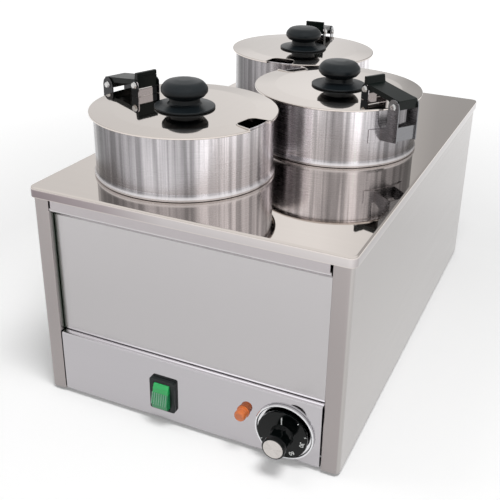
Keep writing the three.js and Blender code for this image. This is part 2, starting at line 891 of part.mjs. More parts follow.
// Thermostat behind the control panel, with its bushing, four tabs and two screws
function thermostatBody() {
  const front = -sheet - seatGap;
  const rear = front - thermostatDepth;
  const tabs = [-1, 1].flatMap((sideX) => [-1, 1].map((sideY) => solidOf(block(
    -terminalWidth / 2,
    terminalWidth / 2,
    -terminalThickness / 2,
    terminalThickness / 2,
    rear - terminalLength,
    rear + terminalThickness,
  ).translate(sideX * thermostatWidth / 4, sideY * thermostatHeight / 4, 0))));
  const screw = panScrew(thermostatScrewHead, thermostatScrewHeadHeight, thermostatScrewShank, thermostatScrewReach);
  const screws = [-1, 1].map((side) => (
    solidOf(geometryOf(screw).translate(side * thermostatScrewSpread, 0, seatGap))));
  return cut(
    join(
      solidOf(raised(rectangle(thermostatWidth, thermostatHeight, thermostatCorner), rear, front)),
      solidOf(rod(bushingRadius, front - sheet, bushingReach, shaftSides)),
      ...tabs,
      ...screws,
    ),
    solidOf(rod(shaftHole, front - shaftInside - seatGap, overrun, shaftSides)),
  );
}

function thermostatShaft() {
  const flat = block(shaftRadius / 2, shaftRadius * 2, -shaftRadius, shaftRadius, shaftOutside / 2, shaftOutside * 2);
  return cut(solidOf(rod(shaftRadius, -sheet - shaftInside, shaftOutside, shaftSides)), solidOf(flat));
}

// Bezel: a flat ring with a rounded bead along its outer edge
function knobBezel() {
  const half = bezelRim / 2;
  const bead = new THREE.EllipseCurve(bezelRadius - half, bezelHeight - half, half, half, 0, Math.PI);
  return closedTurned([
    point(bezelInner, seatGap),
    point(bezelRadius, seatGap),
    ...bead.getPoints(4),
    point(bezelRadius - bezelRim, seatGap + bezelFloor),
    point(bezelInner, seatGap + bezelFloor),
  ], potSegments);
}

// Thermostat knob: a flat dial with a low hub and a six-sided grip that ends in a round collar
function thermostatKnob() {
  const dial = turned([
    point(0, dialBack + dialRecessDepth),
    point(dialRecess, dialBack + dialRecessDepth),
    point(dialRecess, dialBack),
    point(dialRadius, dialBack),
    point(dialRadius, dialFront),
    point(hubFoot, dialFront + dialCrown),
    point(hubTop, hubHeight),
    point(0, hubHeight),
  ], dialSegments);
  const hexagon = rod(gripHexRadius, dialFront, dialShoulder, 6).rotateZ(radians(-gripHexTurn));
  const collar = turned([
    point(0, dialShoulder - dialFaceEdge),
    point(dialFaceRadius, dialShoulder - dialFaceEdge),
    point(dialFaceRadius, dialFace - dialFaceEdge),
    point(dialFaceRadius - dialFaceEdge, dialFace),
    point(0, dialFace),
  ], dialSegments);
  return cut(
    join(dial, solidOf(hexagon), collar),
    solidOf(rod(capRadius + capRecessGap, dialFace - capRecess, dialFace + overrun, dialSegments)),
    solidOf(rod(shaftHole, 0, shaftOutside + seatGap, shaftSides)),
  );
}

function knobCap() {
  const foot = dialFace - capRecess + seatGap;
  return turned([
    point(0, foot),
    point(capRadius, foot),
    point(capRadius, foot + capHeight - capCone),
    point(0, foot + capHeight),
  ], dialSegments);
}

// Bulb below the tank's floor, and the fine tube that leads to it from the thermostat
function thermostatBulb() {
  const height = tankUnder - seatGap - bulbRadius;
  const front = elementFront + bulbFrontShare * (elementRear - elementFront);
  const bulb = turned([
    point(0, 0),
    point(capillaryRadius, 0),
    point(bulbRadius, bulbNeck),
    point(bulbRadius, bulbLength - bulbNeck),
    point(bulbRadius / 2, bulbLength),
    point(0, bulbLength),
  ], screwSides);
  const placed = solidOf(geometryOf(bulb).rotateX(-Math.PI / 2).translate(bulbX, front, height));
  const rear = panelFace + sheet + thermostatDepth + 2 * seatGap;
  const outlet = thermostatZ;
  const behind = rear + 2 * capillaryBend;
  const tubeRun = tube([
    new THREE.Vector3(thermostatX, rear, outlet),
    new THREE.Vector3(thermostatX, behind, outlet),
    new THREE.Vector3(bulbX, behind, outlet),
    new THREE.Vector3(bulbX, behind, height),
    new THREE.Vector3(bulbX, front + bulbNeck / 2, height),
  ], capillaryBend, capillaryRadius, 6);
  return join(placed, tubeRun);
}

// Switch housing: a bezel in front of the panel and an open box with pin holes behind it
function switchHousing() {
  const rear = -switchBodyDepth;
  const bezel = raised(rectangle(switchWidth, switchHeight, switchCorner), seatGap, switchProud);
  const body = block(
    -switchBodyWidth / 2,
    switchBodyWidth / 2,
    -switchBodyHeight / 2,
    switchBodyHeight / 2,
    rear,
    switchProud / 2,
  );
  const well = raised(rectangle(switchWellWidth, switchWellHeight), -switchWellDepth, switchProud + overrun)
    .translate(0, -switchWellDrop, 0);
  const tabs = [-1, 1].flatMap((sideX) => [-1, 1].map((sideY) => solidOf(block(
    -terminalThickness / 2,
    terminalThickness / 2,
    -terminalWidth / 2,
    terminalWidth / 2,
    rear - terminalLength,
    rear + terminalThickness,
  ).translate(sideX * switchBodyWidth / 4, sideY * switchBodyHeight / 4, 0))));
  const pinHole = rod(rockerPinHole, -switchWellWidth / 2 - rockerPinReach, switchWellWidth / 2 + rockerPinReach)
    .rotateY(Math.PI / 2)
    .translate(0, -switchWellDrop, -rockerPivotDepth);
  return cut(join(solidOf(bezel), solidOf(body), ...tabs), solidOf(well), solidOf(pinHole));
}

// Rocker, drawn level about its pivot and then tilted so that its upper end is pressed in
function switchRocker() {
  const half = switchWellWidth / 2 - rockerSideGap;
  const fromPivot = (rise, out) => point(rise, out + rockerPivotDepth);
  const profile = new THREE.Shape([
    fromPivot(rockerRidgeRise, rockerRidgeOut),
    fromPivot(0, rockerRidgeOut - rockerHollow),
    fromPivot(-rockerRidgeRise, rockerRidgeOut),
    fromPivot(-rockerEndRise, rockerEndOut),
    fromPivot(-rockerToeRise, rockerToeOut),
    fromPivot(-rockerHeelRise, -rockerHeelIn),
    fromPivot(-rockerKeelRise, -rockerKeelIn),
    fromPivot(rockerKeelRise, -rockerKeelIn),
    fromPivot(rockerHeelRise, -rockerHeelIn),
    fromPivot(rockerToeRise, rockerToeOut),
    fromPivot(rockerEndRise, rockerEndOut),
  ]);
  const pinHalf = switchWellWidth / 2 + rockerPinReach - seatGap;
  const pins = rod(rockerPinRadius, -pinHalf, pinHalf).rotateY(Math.PI / 2);
  const level = join(solidOf(drawnAlongX(profile, -half, half)), solidOf(pins));
  const pressed = geometryOf(level).rotateX(radians(-rockerTilt));
  return solidOf(pressed.translate(0, -switchWellDrop, -rockerPivotDepth));
}

function pilotLampLens() {
  const dome = new THREE.EllipseCurve(0, lampProud - lampCrown, lampDomeFoot, lampCrown, 0, Math.PI / 2);
  return turned([
    point(0, seatGap),
    point(lampRadius, seatGap),
    point(lampRadius, lampFlange),
    point(lampDomeFoot, lampFlange),
    ...dome.getPoints(4),
  ], lampSegments);
}

function pilotLampBody() {
  const nutFront = -sheet - seatGap;
  return turned([
    point(0, -lampBodyDepth),
    point(lampBodyRadius, -lampBodyDepth),
    point(lampBodyRadius, nutFront - lampNutHeight),
    point(lampNutRadius, nutFront - lampNutHeight),
    point(lampNutRadius, nutFront),
    point(lampBodyRadius, nutFront),
    point(lampBodyRadius, 0),
    point(0, 0),
  ], lampSegments);
}

// Cable gland in the rear panel: cap and hexagon outside, nut inside, bore right through
function cableGland() {
  const inner = -sheet - seatGap;
  const hexagon = rod(glandHexRadius, seatGap, seatGap + glandHexHeight, 6);
  const nut = rod(glandHexRadius, inner - glandNutHeight, inner, 6);
  const cap = turned([
    point(0, seatGap),
    point(glandCapRadius, seatGap),
    point(glandCapRadius, glandHexHeight + glandCapHeight / 2),
    point(glandThread, glandHexHeight + glandCapHeight),
    point(0, glandHexHeight + glandCapHeight),
  ], lampSegments);
  const thread = rod(glandThread, -glandInside, glandHexHeight, lampSegments);
  const bore = rod(glandBore, -caseTop, caseTop, lampSegments);
  return cut(join(solidOf(hexagon), solidOf(nut), cap, solidOf(thread)), solidOf(bore));
}

function terminalBlock() {
  const profile = new THREE.Shape([
    point(-blockWidth / 2, 0),
    point(blockWidth / 2, 0),
    point(blockWidth / 2, blockHeight - blockStep),
    point(blockWidth / 2 - blockStep, blockHeight - blockStep),
    point(blockWidth / 2 - blockStep, blockHeight),
    point(blockStep - blockWidth / 2, blockHeight),
    point(blockStep - blockWidth / 2, blockHeight - blockStep),
    point(-blockWidth / 2, blockHeight - blockStep),
  ]);
  const pitch = blockLength / blockWayCount;
  const ways = Array.from({ length: blockWayCount }, (_, index) => solidOf(
    rod(blockWayRadius, blockHeight - blockWayDepth, blockHeight + overrun)
      .translate((index - (blockWayCount - 1) / 2) * pitch, 0, 0)));
  return cut(solidOf(drawnAlongX(profile, -blockLength / 2, blockLength / 2)), ...ways);
}

// The bend between a pot's floor and its wall, in two facets
function floorBend(radius, floor, bend) {
  return [0, 1, 2].map((step) => {
    const angle = step * Math.PI / 4;
    return point(radius - bend * (1 - Math.sin(angle)), floor + bend * (1 - Math.cos(angle)));
  });
}

// Pot: one wall with a bead that rests on the top plate; heights are above that plate
function potShell() {
  const wall = potUpperRadius;
  const beadTop = potBeadGap + potBeadHeight;
  const beadMiddle = potBeadGap + potBeadHeight / 2;
  const floor = -potBelow;
  const outside = floorBend(potLowerRadius, floor, potFloorBend);
  const inside = floorBend(potLowerRadius - potWall, floor + potWall, potFloorBend - potWall).reverse();
  return turned([
    point(0, floor),
    ...outside,
    point(potLowerRadius, potBeadGap),
    point(wall + potBeadReach / 2, potBeadGap),
    point(wall + potBeadReach, beadMiddle),
    point(wall, beadTop),
    point(wall, potRise - potRimHemHeight),
    point(wall + potRimHem, potRise - potRimHemHeight / 2),
    point(wall, potRise),
    point(wall - potWall, potRise),
    point(wall - potWall, beadMiddle + potWall),
    point(potLowerRadius - potWall, potBeadGap + potWall),
    ...inside,
    point(0, floor + potWall),
  ], potSegments);
}

const notchRim = lidRadius + overrun;

// Outline of the ladle notch, grown outwards by a margin
function notchOutline(margin) {
  const inner = notchInner - margin;
  const slope = (notchRimWidth - notchInnerWidth) / 2 / (lidRadius - notchInner);
  const innerHalf = notchInnerWidth / 2 + margin;
  const rimHalf = innerHalf + slope * (notchRim - notchInner);
  return roundedOutline([
    point(inner, -innerHalf),
    point(notchRim, -rimHalf),
    point(notchRim, rimHalf),
    point(inner, innerHalf),
  ], [notchCorner + margin, 0, 0, notchCorner + margin]);
}

// Lid: heights are above its top. The notch is turned away from the handle.
function lid(notchTurn) {
  const edge = lidRadius - lidLipWall;
  const bend = lidLipWall * 0.75;
  const disc = closedTurned([
    point(screwHole + seatGap, -lidSheet),
    point(edge, -lidSheet),
    point(edge, -lidLip),
    point(lidRadius - lidLipWall / 4, -lidLip),
    point(lidRadius, -lidLip + lidLipWall / 4),
    ...roundCorner(point(lidRadius, -lidLip), point(lidRadius, 0), point(0, 0), bend),
    point(screwHole + seatGap, 0),
  ], potSegments);
  const turn = Math.PI + radians(notchTurn);
  const opening = solidOf(raised(notchOutline(0), -lidLip - overrun, overrun).rotateZ(turn));
  const hem = solidOf(raised(notchOutline(notchHemWall), -lidSheet - notchHemDepth, -lidSheet / 2).rotateZ(turn));
  const reach = solidOf(rod(notchHemReach, -lidLip - overrun, overrun, potSegments));
  return cut(join(disc, hem.intersect(reach)), opening);
}

// Lid knob: a wide foot, a waist and a mushroom top, with a blind hole for its screw
function lidKnob() {
  const foot = seatGap;
  const crown = foot + lidKnobFlangeEdge + lidKnobFlangeCrown;
  const rise = lidKnobHeight - lidKnobWidest;
  const dome = new THREE.EllipseCurve(0, lidKnobWidest, lidKnobRadius, rise, 0, Math.PI / 2);
  const underside = new THREE.EllipseCurve(
    lidKnobStem,
    lidKnobWidest,
    lidKnobRadius - lidKnobStem,
    lidKnobWidest - lidKnobUnderside,
    -Math.PI / 2,
    0,
  );
  return turned([
    point(0, foot + lidScrewReach),
    point(screwHole, foot + lidScrewReach),
    point(screwHole, foot),
    point(lidKnobFlange, foot),
    point(lidKnobFlange, foot + lidKnobFlangeEdge),
    point(lidKnobStem + seatGap, crown),
    point(lidKnobStem, crown + seatGap),
    ...underside.getPoints(3),
    ...dome.getPoints(4).slice(1),
  ], lidKnobSegments);
}

// Screw that holds the knob from below the lid, with its washer
function lidKnobScrew() {
  const washerTop = -lidSheet - seatGap;
  return turned([
    point(0, washerTop - washerHeight - screwHeadHeight),
    point(screwHead, washerTop - washerHeight - screwHeadHeight),
    point(screwHead, washerTop - washerHeight),
    point(washerRadius, washerTop - washerHeight),
    point(washerRadius, washerTop),
    point(screwShank, washerTop),
    point(screwShank, lidScrewReach - seatGap),
    point(0, lidScrewReach - seatGap),
  ], screwSides);
}

// A pair of ears, drawn in distance out and height, on both sides of the grip
function earPair(outline) {
  return join(...[-1, 1].map((side) => {
    const inner = earHalf - earSheet;
    return solidOf(drawnAlongY(outline, side > 0 ? inner : -earHalf, side > 0 ? earHalf : -inner));
  }));
}

function crossHole(radius, out, height) {
  return solidOf(rod(radius, -earHalf - overrun, earHalf + overrun).rotateX(Math.PI / 2).translate(out, 0, height));
}

function lidBracket() {
  const low = seatGap;
  const top = lidEarHeight + lidEarRadius;
  const left = lidEarCentre - lidEarRadius;
  const right = lidEarCentre + lidEarRadius;
  const ear = roundedOutline(
    [point(left, low), point(right, low), point(right, top), point(left, top)],
    [0, 0, lidEarRadius, lidEarRadius],
  );
  const webNear = left + lidWebSetIn;
  const web = block(webNear, webNear + earSheet, -earHalf + earSheet / 2, earHalf - earSheet / 2, low, lidWebHeight);
  return cut(join(earPair(ear), solidOf(web)), crossHole(screwHole, lidEarCentre, lidEarHeight));
}

function hingeBracket() {
  const bandNear = potUpperRadius + seatGap;
  const bandFar = bandNear + bandWall;
  const wallSide = Math.sqrt(bandNear ** 2 - earHalf ** 2);
  const left = pivotOut - potEarRadius;
  const right = pivotOut + potEarRadius;
  const top = pivotHeight + potEarRadius;
  const ear = roundedOutline(
    [
      point(wallSide, potEarHeel),
      point(right, potEarToe),
      point(right, top),
      point(left, top),
      point(left, potEarNeck),
      point(wallSide, potEarShoulder),
    ],
    [0, 0, potEarRadius, potEarRadius, 0, 0],
  );
  const webFar = right - potWebSetIn;
  const web = block(
    webFar - earSheet,
    webFar,
    -earHalf + earSheet / 2,
    earHalf - earSheet / 2,
    potWebBottom,
    potWebTop,
  );
  const ring = closedTurned([
    point(bandNear, bandBottom),
    point(bandFar, bandBottom),
    point(bandFar, bandTop),
    point(bandNear, bandTop),
  ], potSegments);
  const reach = solidOf(block(0, pivotOut, -bandHalfWidth, bandHalfWidth, bandBottom - overrun, bandTop + overrun));
  return cut(join(earPair(ear), solidOf(web), ring.intersect(reach)), crossHole(screwHole, pivotOut, pivotHeight));
}

// Lift handle grip: an upright thumb tab over the lid, and a long arm out to the pivot
function lidGrip() {
  const tabFar = gripInnerEnd + gripTabThickness;
  const profile = roundedOutline(
    [
      point(gripInnerEnd, gripUnderside),
      point(gripInnerEnd + gripHeelEnd, gripUnderside),
      point(gripInnerEnd + gripHeelEnd, gripUnderside + gripHeelRise),
      point(gripArmEnd, gripArmHeight),
      point(gripOuterEnd - gripOuterFoot, gripOuterBottom),
      point(gripOuterEnd, gripOuterBottom),
      point(gripOuterEnd, gripOuterTop),
      point(tabFar + gripTabToe, gripTabFoot),
      point(tabFar, gripTabTop),
      point(gripInnerEnd, gripTabTop),
    ],
    [gripEdge, gripEdge, 0, gripEdge, 0, gripEdge, gripEdge, gripEdge, gripEdge, gripEdge],
  );
  const grooveTop = gripTabTop - gripGrooveDrop;
  const groove = block(
    gripInnerEnd - overrun,
    gripInnerEnd + gripGroove,
    -gripWidth,
    gripWidth,
    grooveTop - gripGroove,
    grooveTop,
  );
  return cut(
    solidOf(drawnAlongY(profile, -gripWidth / 2, gripWidth / 2)),
    crossHole(screwHole, lidEarCentre, lidEarHeight),
    crossHole(screwHole, pivotOut, pivotHeight),
    solidOf(groove),
  );
}

// Bolt across a pair of ears, with a rounded head at each end
function crossBolt(out, height) {
  const seat = earHalf + seatGap;
  const half = [
    point(screwShank, seat),
    point(screwHead, seat),
    point(screwHead * screwCrownShare, seat + screwHeadHeight),
    point(0, seat + screwHeadHeight),
  ];
  const other = half.map((place) => point(place.x, -place.y)).reverse();
  return solidOf(geometryOf(turned([...other, ...half], screwSides)).rotateX(Math.PI / 2).translate(out, 0, height));
}

function addPot(parent, pot) {
  const group = new THREE.Group();
  group.position.set(pot.x, pot.y, caseTop);
  group.rotation.z = radians(pot.turn);
  parent.add(group);
  addPiece(group, `${pot.name}_pot`, potShell(), brushedSteel);
  const upper = new THREE.Group();
  upper.position.z = lidTopHeight;
  group.add(upper);
  addPiece(upper, `${pot.name}_hinge_bracket`, hingeBracket(), satinSteel);
  addPiece(upper, `${pot.name}_lid`, lid(pot.notch), mirrorSteel);
  addPiece(upper, `${pot.name}_lid_knob`, lidKnob(), blackPlastic);
  addPiece(upper, `${pot.name}_lid_knob_screw`, lidKnobScrew(), screwSteel);
  addPiece(upper, `${pot.name}_lid_bracket`, lidBracket(), satinSteel);
  addPiece(upper, `${pot.name}_grip`, lidGrip(), blackPlastic);
  addPiece(upper, `${pot.name}_grip_bolt`, crossBolt(lidEarCentre, lidEarHeight), screwSteel);
  addPiece(upper, `${pot.name}_pivot_bolt`, crossBolt(pivotOut, pivotHeight), screwSteel);
}

function addCase(parent) {
  const top = new THREE.Group();
  top.position.z = caseTop;
  addPiece(top, 'top_plate', topPlate(), mirrorSteel);
  parent.add(top);
  addPiece(parent, 'left_side_panel', sidePanel(-1), satinSteel);
  addPiece(parent, 'right_side_panel', sidePanel(1), satinSteel);
  addPiece(parent, 'front_panel', frontPanel(), satinSteel);
  addPiece(parent, 'control_panel', controlPanel(), satinSteel);
  addPiece(parent, 'rear_panel', rearPanel(), satinSteel);
  addPiece(parent, 'base_plate', basePlate(), galvanizedSteel);
  feet.forEach((foot) => {
    const group = new THREE.Group();
    group.position.set(foot.x, foot.y, 0);
    addPiece(group, `${foot.name}_foot`, rubberFoot(), blackRubber);
    addPiece(group, `${foot.name}_foot_screw`, footScrew(), screwSteel);
    parent.add(group);
  });
  addPiece(parent, 'water_tank', waterTank(), satinSteel);
  addPiece(parent, 'heating_element', heatingElement(), darkSheath);
  barPlaces.forEach((y, index) => {
    const group = new THREE.Group();
    group.position.y = y;
    addPiece(group, `element_bar_${index + 1}`, elementBar(), galvanizedSteel);
    parent.add(group);
  });
}

function addControls(parent) {
  const thermostat = onPanel(thermostatX, thermostatZ);
  addPiece(thermostat, 'thermostat_body', thermostatBody(), greyMoulding);
  addPiece(thermostat, 'thermostat_shaft', thermostatShaft(), screwSteel);
  addPiece(thermostat, 'knob_bezel', knobBezel(), chrome);
  addPiece(thermostat, 'thermostat_knob', thermostatKnob(), blackPlastic);
  addPiece(thermostat, 'knob_cap', knobCap(), brushedSteel);
  const rocker = onPanel(switchX, switchZ);
  addPiece(rocker, 'switch_housing', switchHousing(), blackPlastic);
  addPiece(rocker, 'switch_rocker', switchRocker(), greenLens);
  const lamp = onPanel(lampX, lampZ);
  addPiece(lamp, 'pilot_lamp_lens', pilotLampLens(), amberLens);
  addPiece(lamp, 'pilot_lamp_body', pilotLampBody(), greyMoulding);
  parent.add(thermostat, rocker, lamp);
  addPiece(parent, 'thermostat_bulb', thermostatBulb(), copper);
  const gland = new THREE.Group();
  gland.position.set(glandX, endFace + seatGap + sheet, glandZ);
  gland.rotation.x = -Math.PI / 2;
  addPiece(gland, 'cable_gland', cableGland(), blackPlastic);
  const terminals = new THREE.Group();
  terminals.position.set(blockX, endFace - blockSetIn, baseTop + seatGap);
  addPiece(terminals, 'terminal_block', terminalBlock(), greyMoulding);
  parent.add(gland, terminals);
}

// The origin goes under the middle of the whole outline
function centredOverOrigin(group) {
  const middle = new THREE.Box3().setFromObject(group, true).getCenter(new THREE.Vector3());
  group.position.set(-middle.x, -middle.y, 0);
  return group;
}

const unit = new THREE.Group();
addCase(unit);
addControls(unit);
pots.forEach((pot) => addPot(unit, pot));

const warmer = new THREE.Group();
warmer.add(centredOverOrigin(unit));

export default warmer;
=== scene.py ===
import json
import math

import bmesh
import bpy
from mathutils import Matrix, Vector


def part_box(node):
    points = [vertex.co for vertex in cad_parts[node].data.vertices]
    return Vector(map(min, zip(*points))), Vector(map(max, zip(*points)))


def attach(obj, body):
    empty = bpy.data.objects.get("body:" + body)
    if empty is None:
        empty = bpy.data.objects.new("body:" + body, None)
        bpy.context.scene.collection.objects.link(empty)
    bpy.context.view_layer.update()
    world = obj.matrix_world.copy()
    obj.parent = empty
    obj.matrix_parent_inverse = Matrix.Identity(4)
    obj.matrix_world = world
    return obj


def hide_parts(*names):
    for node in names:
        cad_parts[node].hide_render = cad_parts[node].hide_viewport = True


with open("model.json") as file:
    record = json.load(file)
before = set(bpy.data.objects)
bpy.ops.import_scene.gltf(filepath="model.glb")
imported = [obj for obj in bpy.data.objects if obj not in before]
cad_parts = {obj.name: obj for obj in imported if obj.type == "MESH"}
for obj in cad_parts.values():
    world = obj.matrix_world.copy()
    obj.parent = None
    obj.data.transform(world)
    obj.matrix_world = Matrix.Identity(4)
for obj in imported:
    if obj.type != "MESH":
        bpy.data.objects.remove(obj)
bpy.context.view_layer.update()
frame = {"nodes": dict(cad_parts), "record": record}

# Countertop food warmer with three inset pots: its finishes, its finer pieces, the studio.
# Blender's lengths are metres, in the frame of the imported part. Named sizes are millimetres, times MM.
MM = 0.001
record = frame["record"]
body_of = {node: body for body, nodes in record["behaviour"]["bodies"].items() for node in nodes}

# Broad upright bands of painted reflection on a polished wall:
# degrees right of the side that faces the viewer, lightness
FRONT_REFLECTION_BANDS = [(-180, 0.5), (-90, 0.6), (-65, 0.1), (-40, 0.3), (-15, 0.5), (0, 0.3),
               (15, 0.9), (40, 0.6), (70, 0.9), (85, 0.2), (180, 0.5)]
MIDDLE_REFLECTION_BANDS = [(-180, 0.5), (-90, 0.3), (-65, 0.1), (-40, 0.9), (-20, 0.8), (-5, 0.3),
                (10, 0.9), (30, 0.3), (75, 0.1), (95, 0.5), (180, 0.5)]

# For each pot, in degrees about its axis: where its handle, its ladle notch and its side towards the
# viewer lie. Then the bands of painted reflection on its wall, how light the painted reflection on its
# hinge bracket's ear faces is, and whether its web's end is painted dark.
POTS = {
    "front": {"handle": 161.8, "notch": 349.8, "facing": -59.7,
              "bands": FRONT_REFLECTION_BANDS, "ears": 0.05, "dark_end": True},
    "middle": {"handle": -31.5, "notch": 149.5, "facing": -67.2,
               "bands": MIDDLE_REFLECTION_BANDS, "ears": 0.24, "dark_end": False},
    "rear": {"handle": 96.3, "notch": 273.3, "facing": -68.4,
             "bands": FRONT_REFLECTION_BANDS, "ears": 0.30, "dark_end": False},
}


# Finishes

WHITE = (1, 1, 1, 1)
# The colour of the painted highlight on the front panel's hem, and of its painted reflection on the ledge.
PAINTED_HIGHLIGHT = (0.96, 0.94, 0.97, 1)
RAIL_HEIGHT = 21.6


class Value:
    """A socket that takes part in sums."""

    def __init__(self, nodes, socket):
        self.nodes = nodes
        self.socket = socket

    def __add__(self, other):
        return self.nodes.maths("ADD", self, other)

    def __sub__(self, other):
        return self.nodes.maths("SUBTRACT", self, other)

    def __rsub__(self, other):
        return self.nodes.maths("SUBTRACT", other, self)

    def __mul__(self, other):
        return self.nodes.maths("MULTIPLY", self, other)

    def __truediv__(self, other):
        return self.nodes.maths("DIVIDE", self, other)

    __radd__ = __add__
    __rmul__ = __mul__


class Nodes:
    """A node tree, and the one way in which its nodes are made."""

    def __init__(self, tree):
        self.tree = tree

    def node(self, kind, settings, inputs, output=0):
        made = self.tree.nodes.new("ShaderNode" + kind)
        for name, value in settings.items():
            if name == "stops":
                self.set_stops(made.color_ramp, value)
            else:
                setattr(made, name, value)
        self.feed(made, inputs)
        return Value(self, made.outputs[output])

    def set_stops(self, ramp, stops):
        while len(ramp.elements) < len(stops):
            ramp.elements.new(0.5)
        for element, (place, colour) in zip(ramp.elements, stops):
            element.position = place
            element.color = colour

    def feed(self, made, inputs):
        for name, value in inputs.items():
            if isinstance(value, Value):
                self.tree.links.new(value.socket, made.inputs[name])
            else:
                made.inputs[name].default_value = value

    def maths(self, operation, first, second=0.0):
        return self.node("Math", {"operation": operation}, {0: first, 1: second})

    def mix(self, factor, first, second):
        return self.node("Mix", {"data_type": "RGBA"}, {0: factor, 6: first, 7: second}, 2)

    def tint(self, colour, factor):
        """The colour, multiplied by another."""
        settings = {"data_type": "RGBA", "blend_type": "MULTIPLY"}
        return self.node("Mix", settings, {0: 1.0, 6: colour, 7: factor}, 2)

    def place(self, centre=(0, 0, 0), scale=(1, 1, 1)):
        coordinates = self.node("TexCoord", {}, {}, "Object")
        moved = self.node("VectorMath", {"operation": "SUBTRACT"}, {0: coordinates, 1: centre})
        return self.node("VectorMath", {"operation": "MULTIPLY"}, {0: moved, 1: scale})

    def noise(self, vector, scale=1.0, detail=3.0, roughness=0.5):
        return self.node("TexNoise", {}, {
            "Vector": vector, "Scale": scale, "Detail": detail, "Roughness": roughness})

    def vector(self, x, y, z):
        return self.node("CombineXYZ", {}, {0: x, 1: y, 2: z})

    def length(self, vector):
        return self.node("VectorMath", {"operation": "LENGTH"}, {0: vector}, 1)

    def part_of(self, vector, axis):
        """The x, y or z of a vector, by its number."""
        return self.node("SeparateXYZ", {}, {0: vector}, axis)

    def turned(self, vector, degrees):
        return self.node("VectorRotate", {"rotation_type": "Z_AXIS"}, {
            "Vector": vector, "Angle": -math.radians(degrees)})

    def ramp(self, stops, value):
        return self.node("ValToRGB", {"stops": stops}, {0: value})

    def spread(self, value, low, high, from_low=0.3, from_high=0.7):
        """The value, carried from its own range over to the range from low to high."""
        return self.node("MapRange", {}, {
            "Value": value, "From Min": from_low, "From Max": from_high, "To Min": low, "To Max": high})

    def grey(self, value):
        return self.node("CombineColor", {}, {0: value, 1: value, 2: value})


def linear(red, green, blue):
    """A colour written in 0 to 255, as the shader takes it."""
    shares = [part / 255 for part in (red, green, blue)]
    return tuple(s / 12.92 if s <= 0.04045 else ((s + 0.055) / 1.055) ** 2.4 for s in shares) + (1.0,)


class Finish(Nodes):
    """A material around one Principled shader."""

    def __init__(self, name, colour, roughness, metallic=0.0, **fixed):
        self.material = bpy.data.materials.new(name)
        self.material.use_nodes = True
        super().__init__(self.material.node_tree)
        self.shader = self.tree.nodes["Principled BSDF"]
        self.colour = linear(*colour)
        self.feed(self.shader, {"Base Color": self.colour, "Roughness": roughness, "Metallic": metallic})
        self.feed(self.shader, {name.replace("_", " "): value for name, value in fixed.items()})
        self.paint = self.colour

    def bump(self, height, strength, distance):
        normal = self.node("Bump", {}, {"Height": height, "Strength": strength, "Distance": distance})
        self.feed(self.shader, {"Normal": normal})

    def repaint(self, paint):
        self.paint = paint
        self.feed(self.shader, {"Base Color": paint})

    def vary(self, value, low, high):
        self.repaint(self.tint(self.paint, self.grey(self.spread(value, low, high))))

    def along(self, axis):
        """How far a point lies along an axis of the part, in metres."""
        return self.part_of(self.place(), axis)


def sheet_steel(name, colour, roughness, grain, scatter=0.05, shade=0.03, grainy=0.0):
    """Rolled sheet with fine straight grain. grain stretches the noise: small along the grain."""
    finish = Finish(name, colour, roughness, 1.0)
    lines = finish.noise(finish.place(scale=grain), 1.0, 2.0)
    clouds = finish.noise(finish.place(), 9.0, 3.0)
    finish.vary(lines * 0.5 + clouds * 0.5, 1 - shade, 1 + shade)
    finish.feed(finish.shader, {"Roughness": finish.spread(lines, roughness - scatter, roughness + scatter)})
    if grainy:
        finish.bump(lines, grainy, 0.00002)
    return finish


def turned_steel(name, centre, pot, bead_top):
    """Sheet that was polished while it turned: level grain. Its colour also holds painted light: upright
    bands and streaks of painted reflection, a bead painted lighter, painted shade below the plate and
    painted dark reflection on the hinge bracket's ear faces.
    """
    finish = Finish(name, (255, 255, 255), 0.24, 1.0, Anisotropic=0.85, Anisotropic_Rotation=0.25)
    place = finish.turned(finish.place(centre=centre), pot["facing"])
    x, y, height = (finish.part_of(place, axis) for axis in range(3))
    around = finish.maths("ARCTAN2", y, x) / (2 * math.pi) + 0.5
    wander = finish.noise(finish.place(scale=(12, 12, 14)), 1.0, 2.0)
    # Upright bands of painted reflection round the wall, fixed to the pot.
    stops = [((turn + 180) / 360, (light, light * 0.955, light * 0.985, 1)) for turn, light in pot["bands"]]
    bands = finish.ramp(stops, around + (wander - 0.5) * 0.016)
    # Painted reflection: narrow upright streaks over the bands. The level grain further down is the sheet's
    # own.
    streaks = finish.noise(finish.vector(around * 75.0, 0.0, height * 3.0), 1.0, 2.0)
    lines = finish.noise(finish.vector(around * 300.0, 0.0, height * 6.0), 1.0, 2.0)
    grain = finish.noise(finish.vector(around * 3.0, 0.0, height * 2200.0), 1.0, 2.0)
    painted_streaks = finish.spread(lines, 0.88, 1.12) * finish.spread(streaks, 0.70, 1.22, 0.42, 0.58)
    finish.repaint(finish.tint(bands, finish.grey(painted_streaks)))
    # Painted reflection: the bead is painted an even lighter grey in place of the bands.
    bead = finish.spread(height, 0.75, 0.0, bead_top - 1 * MM, bead_top + 1 * MM)
    finish.repaint(finish.mix(bead, finish.paint, (0.86, 0.83, 0.84, 1)))
    # Painted shade: the wall below the plate, down in the well, is painted dark.
    below_plate_shade = finish.spread(height, 1.0, 0.0, bead_top - 16 * MM, bead_top - 12 * MM)
    finish.repaint(finish.mix(below_plate_shade, finish.paint, (0.34, 0.325, 0.33, 1)))
    # Painted reflection: past the wall, the hinge bracket's ear faces are painted dark, less dark on some
    # pots.
    outside = finish.spread(finish.length(finish.vector(x, y, 0.0)), 0.0, 1.0, 99.0 * MM, 99.6 * MM)
    ears = pot["ears"]
    finish.repaint(finish.mix(outside, finish.paint, (ears, ears, ears * 1.04, 1)))
    finish.vary(grain, 0.94, 1.04)
    finish.feed(finish.shader, {"Roughness": finish.spread(grain, 0.20, 0.30)})
    finish.bump(grain, 0.12, 0.00005)
    return finish


